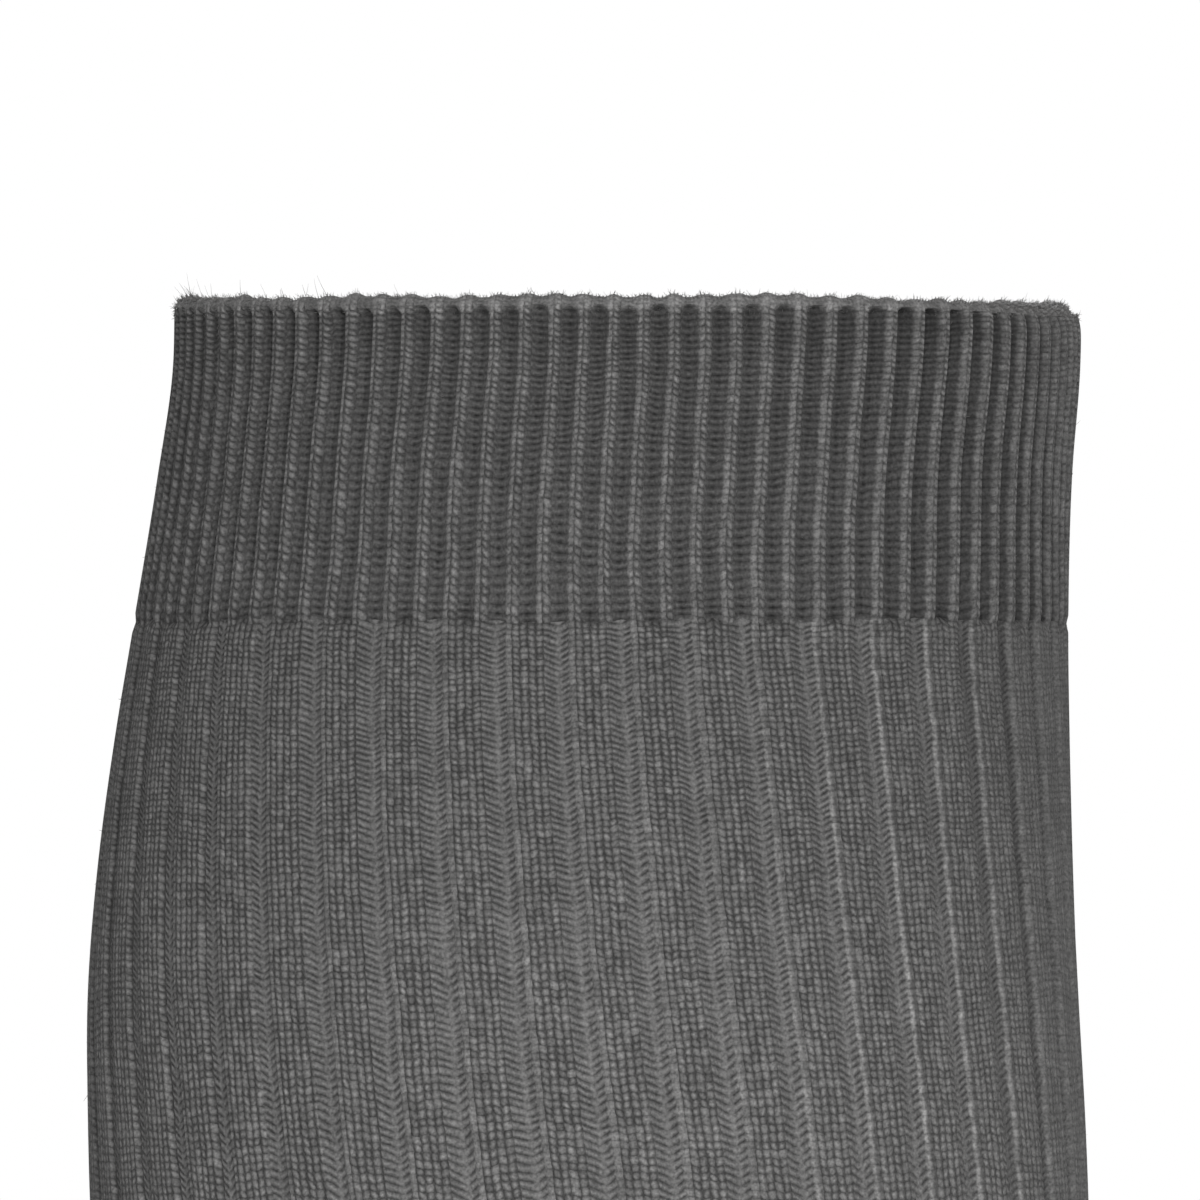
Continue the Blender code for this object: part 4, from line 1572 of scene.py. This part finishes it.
@dataclass
class ToePocket:
    """The plain toe pocket, narrowed along its sides and closed over the toes."""

    start: float
    first_course: float
    row_step: float = 0.75
    wale_pitch: float = 1.36
    course_pitch: float = 0.92
    gore_dip: float = 0.28
    # painted shade in the gore's dip, along the join with the foot and on the seam's flanks
    gore_shade: float = 0.24
    edge_shade: float = 0.10
    seam_shade: float = 0.36
    girths: tuple[float, float] = (150.0, 35.0)  # roughly, at the start and the tip
    seam_place: float = 0.60  # of the way from the pocket's start to its tip, on top
    seam_height: float = 0.5
    cut: Cut = Cut(0.15, 0.045)
    columns: int = 352

    def seam_line(self, down: np.ndarray, shares: np.ndarray) -> np.ndarray:
        """1 along the linked seam over the toes and 0 away from it."""
        off = np.abs(from_front(shares))
        top = 1.0 - smooth_step(0.2, 0.25, off)
        span = FOOT_END - self.start
        place = self.start + span * (self.seam_place + 0.16 * (off / 0.25) ** 2)
        return top[None, :] * bell(0.0, 0.62, down[:, None] - place[None, :])

    def gore_line(self, down: np.ndarray, shares: np.ndarray) -> np.ndarray:
        """1 along the narrowings at both sides and 0 away from them."""
        girth = np.interp(down, [self.start, FOOT_END], self.girths)[:, None]
        off = np.minimum(np.abs(shares - 0.25), np.abs(shares - 0.75))[None, :]
        fade = 1.0 - smooth_step(self.start + 26.0, self.start + 33.0, down)[:, None]
        return bell(0.0, 0.75, off * girth) * fade

    def numbers(self, outline: np.ndarray, down: np.ndarray) -> np.ndarray:
        """Wales and courses that run straight to the narrowings.

        Args:
            outline: The pocket's points, of (rows, columns, 3).
            down: Distances of the rows.

        Returns:
            Knit numbers of (rows, columns + 1, 2).
        """
        closed = np.concatenate([outline, outline[:, :1]], axis=1)
        around = run_lengths(closed.swapaxes(0, 1)).T
        girth = around[:, -1:]
        share = around / girth
        top = around * (share <= 0.25) + (around - girth) * (share > 0.75)
        sole = around - girth / 2
        on_top = (share <= 0.25) | (share > 0.75)
        wales = np.where(on_top, top, sole + 400.0) / self.wale_pitch
        courses = self.first_course + (down - self.start) / self.course_pitch
        return np.stack(np.broadcast_arrays(wales, courses[:, None]), axis=2)

    def build(self, wardrobe: Wardrobe) -> Skin:
        """Models and dresses the toe pocket, and returns its outer face."""
        shares = np.arange(self.columns) / self.columns
        rows = int((FOOT_END - self.start) / self.row_step) + 1
        down = np.linspace(self.start, FOOT_END, rows)
        across = np.broadcast_to(shares, (rows, self.columns))
        base = SHOE_LENGTH.points(down, across)
        normals = SHOE_LENGTH.normals(down, across)
        seam, gore = self.seam_line(down, shares), self.gore_line(down, shares)
        raised = seam * self.seam_height - gore * self.gore_dip
        outer = base + normals * raised[:, :, None]
        inside = slice(None, None, 3)
        inner = base[inside] - normals[inside] * POCKET_WALL
        tip = np.array(TOE_TIP)
        inner_tip = tip - np.array([POCKET_WALL, 0.0, 0.0])
        # painted shade in the gore's dip, along the join with the foot and on the seam's flanks
        edge = bell(self.start, 0.8, down)[:, None]
        painted_shading = 1.0 - self.gore_shade * gore - self.edge_shade * edge
        painted_shading = painted_shading - self.seam_shade * np.abs(np.gradient(seam, axis=0))
        numbers = self.numbers(base, down)
        wall = Wall(
            "toe",
            np.concatenate([outer[::-1], inner]),
            np.concatenate([numbers[::-1], numbers[inside]]),
            rows,
            tips=(tip, inner_tip),
            masks={
                "painted_shading": np.concatenate([painted_shading[::-1], np.ones(inner.shape[:2])]),
                "ribbed": np.zeros((rows + len(inner), self.columns)),
            },
        )
        dress("toe_pocket", wall.mesh(), wardrobe.pocket, ["toe"])
        return Skin(outer, normals)


@dataclass
class HeelPocket:
    """The plain heel pocket, whose rows fan out from a corner on each side."""

    rows: int = 92
    columns: int = 176
    wale_pitch: float = 1.75
    course_pitch: float = 0.98
    gore_dip: float = 0.32
    # painted shade in the gore's dip and along the pocket's edges
    gore_shade: float = 0.26
    edge_shade: float = 0.14
    cut: Cut = Cut(0.13, 0.09)

    def half_rings(self) -> list[Section]:
        """The fan's half rings, on smooth curves through the heel's lines."""
        table = np.array(HEEL_LINES)
        knots = run_lengths(table[:, :2])
        lines = through(table, knots, np.linspace(0.0, knots[-1], self.rows))
        corner = (0.0, 0.0, CORNER_X, CORNER_Z)
        return [
            Section(*corner, back_x, max(back_z, SOLE_Z), CORNER_HALF_WIDTH, square)
            for back_x, back_z, square in lines
        ]

    def normals(self, base: np.ndarray) -> np.ndarray:
        """Outward unit normals of the fan, one shared normal in each corner."""
        down = np.gradient(base, axis=0)
        across = np.gradient(base, axis=1)
        normal = unit(np.cross(down[:, 1:-1], across[:, 1:-1]))
        corners = [unit(normal[:, column].mean(axis=0)) for column in (0, -1)]
        first, last = (np.broadcast_to(corner, (len(base), 1, 3)) for corner in corners)
        return np.concatenate([first, normal, last], axis=1)

    def build(self, wardrobe: Wardrobe) -> Skin:
        """Models and dresses the heel pocket, and returns its outer face."""
        shares = np.linspace(0.25, 0.75, self.columns + 1)
        base = np.array([ring_points(section, shares) for section in self.half_rings()])
        normals = self.normals(base)
        middle = self.rows // 2
        from_top = run_lengths(base)
        from_bottom = from_top[-1:] - from_top
        upper = np.arange(self.rows)[:, None] <= middle
        centre = self.columns // 2
        spread = run_lengths(base[middle])
        spread = spread - spread[centre]
        total = from_top[-1, centre]
        courses = HEEL_COURSE + np.where(upper, from_top, total - from_bottom) / self.course_pitch
        wales = np.broadcast_to(spread[None, :] / self.wale_pitch, courses.shape) + NEEDLES
        row_gap = np.abs(from_top - from_top[middle : middle + 1])
        reach = smooth_step(0.12, 0.30, np.abs(shares - 0.5))[None, :]
        gore = bell(0.0, 0.8, row_gap) * reach
        outer = base - normals * (gore * self.gore_dip)[:, :, None]
        inner = base - normals * POCKET_WALL
        # painted shade in the gore's dip and along the pocket's edges
        edges = bell(0.0, 0.9, np.minimum(from_top, from_bottom))
        painted_shading = 1.0 - self.gore_shade * gore - self.edge_shade * edges
        numbers = np.stack([wales, courses], axis=2)
        wall = Wall(
            "heel",
            np.concatenate([outer, inner[::-1]]),
            np.concatenate([numbers, numbers[::-1]]),
            self.rows,
            ends=Ends.HALF,
            masks={
                "painted_shading": np.concatenate([painted_shading, np.ones_like(painted_shading)]),
                "ribbed": np.zeros((2 * self.rows, self.columns + 1)),
            },
        )
        dress("heel_pocket", wall.mesh(), wardrobe.pocket, ["heel"])
        return Skin(outer, normals)


@dataclass
class LooseFibres:
    """Short fibres that stand off the yarn, most of them along the fold at the mouth."""

    on_fold: int = 10200
    on_cloth: int = 2400
    strays: int = 26
    thickness: float = 0.024
    bend: float = 0.4

    def roots(
        self,
        draw: np.random.Generator,
        skin: Skin,
        count: int,
        rows: tuple[float, float],
        columns: tuple[float, float] = (0.0, 1.0),
    ) -> tuple[np.ndarray, np.ndarray]:
        """Places on a skin and the normals there.

        Args:
            draw: The source of chance.
            skin: The outer face that the fibres grow from.
            count: How many places.
            rows: The first and last row, as shares of the skin's rows.
            columns: The first and last column, as shares of the girth.

        Returns:
            Points and unit normals.
        """
        high, wide = skin.points.shape[:2]
        row = (draw.uniform(rows[0], rows[1], count) * (high - 1)).astype(int)
        column = (draw.uniform(columns[0], columns[1], count) * wide).astype(int) % wide
        return skin.points[row, column], skin.normals[row, column]

    def strands(
        self,
        draw: np.random.Generator,
        roots: np.ndarray,
        normals: np.ndarray,
        lengths: np.ndarray,
        rise: float,
        steps: tuple[float, ...] = (-0.08, 0.5, 1.0),
    ) -> np.ndarray:
        """Curved centre lines through the given steps, of (fibres, steps, 3)."""
        side = draw.normal(size=roots.shape)
        side = unit(side - normals * np.sum(side * normals, axis=1, keepdims=True))
        up = np.zeros_like(roots)
        up[:, 2] = rise
        lean = draw.uniform(0.25, 0.95, (len(roots), 1))
        start = unit(normals * lean + side * (1.0 - lean * 0.5) + up)
        bend = draw.normal(size=roots.shape) * self.bend
        share = np.array(steps)[None, :, None]
        length = lengths[:, None, None]
        return (
            roots[:, None]
            + start[:, None] * share * length
            + bend[:, None] * np.maximum(share, 0.0) ** 2 * 0.42 * length
        )

    def tubes(
        self, lines: np.ndarray, draw: np.random.Generator, first: int
    ) -> tuple[np.ndarray, list[list[int]]]:
        """Three-sided needles along the centre lines, closed at both ends.

        Args:
            lines: Centre lines, of (fibres, steps, 3).
            draw: The source of chance.
            first: The number of the first point.

        Returns:
            The points, and the faces by the numbers of their points.
        """
        rings = lines.shape[1]
        along = unit(np.gradient(lines, axis=1))
        one = unit(np.cross(along, np.array([0.31, 0.52, 0.79])))
        two = np.cross(along, one)
        width = self.thickness * draw.uniform(0.7, 1.3, (len(lines), 1, 1))
        taper = np.interp(np.arange(rings) / (rings - 1), [0.0, 0.5, 1.0], [1.0, 0.9, 0.35])
        sides = []
        for side in range(3):
            angle = 2.0 * math.pi * side / 3
            across = one * math.cos(angle) + two * math.sin(angle)
            sides.append(lines + across * width * taper[None, :, None])
        points = np.stack(sides, axis=2).reshape(-1, 3)
        start = first + np.arange(len(lines))[:, None] * rings * 3
        last = rings * 3 - 3
        quads = []
        for low in range(0, last, 3):
            for side in range(3):
                after = (side + 1) % 3
                quads += (start + [low + side, low + after, low + 3 + after, low + 3 + side]).tolist()
        caps = (start + [2, 1, 0]).tolist() + (start + [last, last + 1, last + 2]).tolist()
        return points, quads + caps

    def build(self, wardrobe: Wardrobe, skins: Sequence[Skin]) -> None:
        """Grows the fibres on the skins, the welt's being the first."""
        draw = np.random.default_rng(Seed.FIBRES)
        lines = []
        for rows, rise in (((0.0, 0.05), 1.1), ((0.0, 0.14), 0.4)):
            points, normals = self.roots(draw, skins[0], self.on_fold // 2, rows)
            lengths = draw.gamma(3.0, 0.075, len(points)) + 0.12
            lines.append(self.strands(draw, points, normals, lengths, rise))
        areas = np.array([math.prod(skin.points.shape[:2]) for skin in skins], dtype=float)
        for skin, share in zip(skins, areas / areas.sum()):
            points, normals = self.roots(draw, skin, int(self.on_cloth * share), (0.0, 1.0))
            lengths = draw.gamma(3.0, 0.09, len(points)) + 0.10
            lines.append(self.strands(draw, points, normals, lengths, 0.0))
        points, faces = self.tubes(np.concatenate(lines), draw, 0)
        steps = tuple(np.linspace(-0.05, 1.0, 6))
        for columns in ((0.58, 0.72), (0.50, 0.53)):
            roots, normals = self.roots(draw, skins[0], self.strays // 2, (0.0, 0.05), columns)
            lengths = draw.uniform(0.9, 2.8, len(roots))
            lines = self.strands(draw, roots, normals, lengths, 1.6, steps)
            stray_points, stray_faces = self.tubes(lines, draw, len(points))
            points = np.concatenate([points, stray_points])
            faces += stray_faces
        data = bpy.data.meshes.new("loose_fibres")
        data.from_pydata((points * MM).tolist(), [], faces)
        layer = data.uv_layers.new(name="OFBake")
        layer.data.foreach_set("uv", np.full(2 * len(data.loops), 0.5, dtype=np.float32))
        data.shade_smooth()
        data.materials.append(wardrobe.fibre)
        piece = placed("loose_fibres", data)
        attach(piece, BODY)
        LOG.info("loose_fibres: %d faces", len(data.polygons))


@dataclass
class Studio:
    """A pale floor, a white surround, soft lights and the camera."""

    distance: float = 3.0
    frame_width: float = 0.1368
    aim: tuple[float, float, float] = (-0.0031, 0.0, -0.0344)
    floor_z: float = -0.4056
    floor_radius: float = 2.4
    floor_grey: float = 0.86
    floor_roughness: float = 0.8
    surround: float = 0.26
    key_power: float = 26.8
    back_power: float = 24.0
    top_power: float = 7.0

    def floor(self) -> None:
        """Lays the pale floor just under the sole."""
        bpy.ops.object.select_all(action="DESELECT")
        bpy.ops.mesh.primitive_circle_add(
            vertices=96, radius=self.floor_radius, fill_type="NGON", location=(0.0, 0.0, self.floor_z)
        )
        floor = bpy.context.active_object
        floor.name = "floor"
        grey = self.floor_grey
        values = {"Base Color": (grey, grey, grey, 1.0), "Roughness": self.floor_roughness}
        finish = new_material("pale_floor", values)
        floor.data.materials.append(finish)

    def world(self) -> None:
        """A white surround that the lens sees brighter than the cloth does."""
        world = bpy.data.worlds.new("white_studio")
        bpy.context.scene.world = world
        world.use_nodes = True
        tree = world.node_tree
        tree.nodes.clear()
        lit = tree.nodes.new("ShaderNodeBackground")
        lit.inputs["Strength"].default_value = self.surround
        seen = tree.nodes.new("ShaderNodeBackground")
        seen.inputs["Strength"].default_value = 1.0
        for node in (lit, seen):
            node.inputs["Color"].default_value = (1.0, 1.0, 1.0, 1.0)
        path = tree.nodes.new("ShaderNodeLightPath")
        mix = tree.nodes.new("ShaderNodeMixShader")
        out = tree.nodes.new("ShaderNodeOutputWorld")
        tree.links.new(path.outputs["Is Camera Ray"], mix.inputs[0])
        tree.links.new(lit.outputs[0], mix.inputs[1])
        tree.links.new(seen.outputs[0], mix.inputs[2])
        tree.links.new(mix.outputs[0], out.inputs["Surface"])

    def lamp(self, name: str, place: tuple[float, float, float], size: float, power: float) -> None:
        """A soft square light that faces the sock.

        Args:
            name: The light's name.
            place: Where it stands, in metres.
            size: Its side, in metres.
            power: Its power, in watts.
        """
        light = bpy.data.lights.new(name, "AREA")
        light.shape = "SQUARE"
        light.size = size
        light.energy = power
        lamp = placed(name, light)
        lamp.location = place
        spot = np.array(self.aim) + np.array([0.0, 0.0, -0.1])
        away = np.array(place) - spot
        lamp.rotation_euler = (
            math.acos(away[2] / np.linalg.norm(away)),
            0.0,
            math.atan2(away[0], -away[1]),
        )
        lamp.visible_camera = False

    def camera(self) -> None:
        """A long lens, level with the upper leg and square to its side."""
        lens = bpy.data.cameras.new("camera")
        lens.sensor_width = 36.0
        lens.lens = lens.sensor_width * self.distance / self.frame_width
        lens.clip_start, lens.clip_end = 0.1, 100.0
        camera = placed("camera", lens)
        camera.location = (self.aim[0], -self.distance, self.aim[2])
        camera.rotation_euler = (math.pi / 2, 0.0, 0.0)
        bpy.context.scene.camera = camera

    def build(self) -> None:
        """Sets up the studio round the sock."""
        bpy.context.scene.view_settings.view_transform = "Standard"
        self.floor()
        self.world()
        self.lamp("key", (0.16, -1.8, 0.45), 0.7, self.key_power)
        self.lamp("back", (-0.16, 1.8, 0.75), 0.7, self.back_power)
        self.lamp("top", (0.05, 0.0, 1.9), 0.6, self.top_power)
        self.camera()


def main() -> None:
    """Builds the sock from the mouth to the toes, then the studio round it."""
    logging.basicConfig(level=logging.INFO, format="%(name)s: %(message)s")
    bpy.ops.object.select_all(action="DESELECT")
    wardrobe = make_wardrobe()
    relief = RibRelief()
    foot = Foot(relief)
    toe_course = HEEL_COURSE + foot.end() / foot.course_pitch
    pieces = (
        Welt(relief),
        RibbedTube("leg", relief, WELT_END, LEG_END, 1.5, Cut(0.24, 0.185), 14),
        RibbedTube("ankle", relief, LEG_END, RUN_END, 1.35, Cut(0.21, 0.12), 20),
        HeelPocket(),
        foot,
        ToePocket(foot.end(), toe_course),
    )
    skins = [piece.build(wardrobe) for piece in pieces]
    LooseFibres().build(wardrobe, skins)
    Studio().build()


if __name__ == "__main__":
    main()
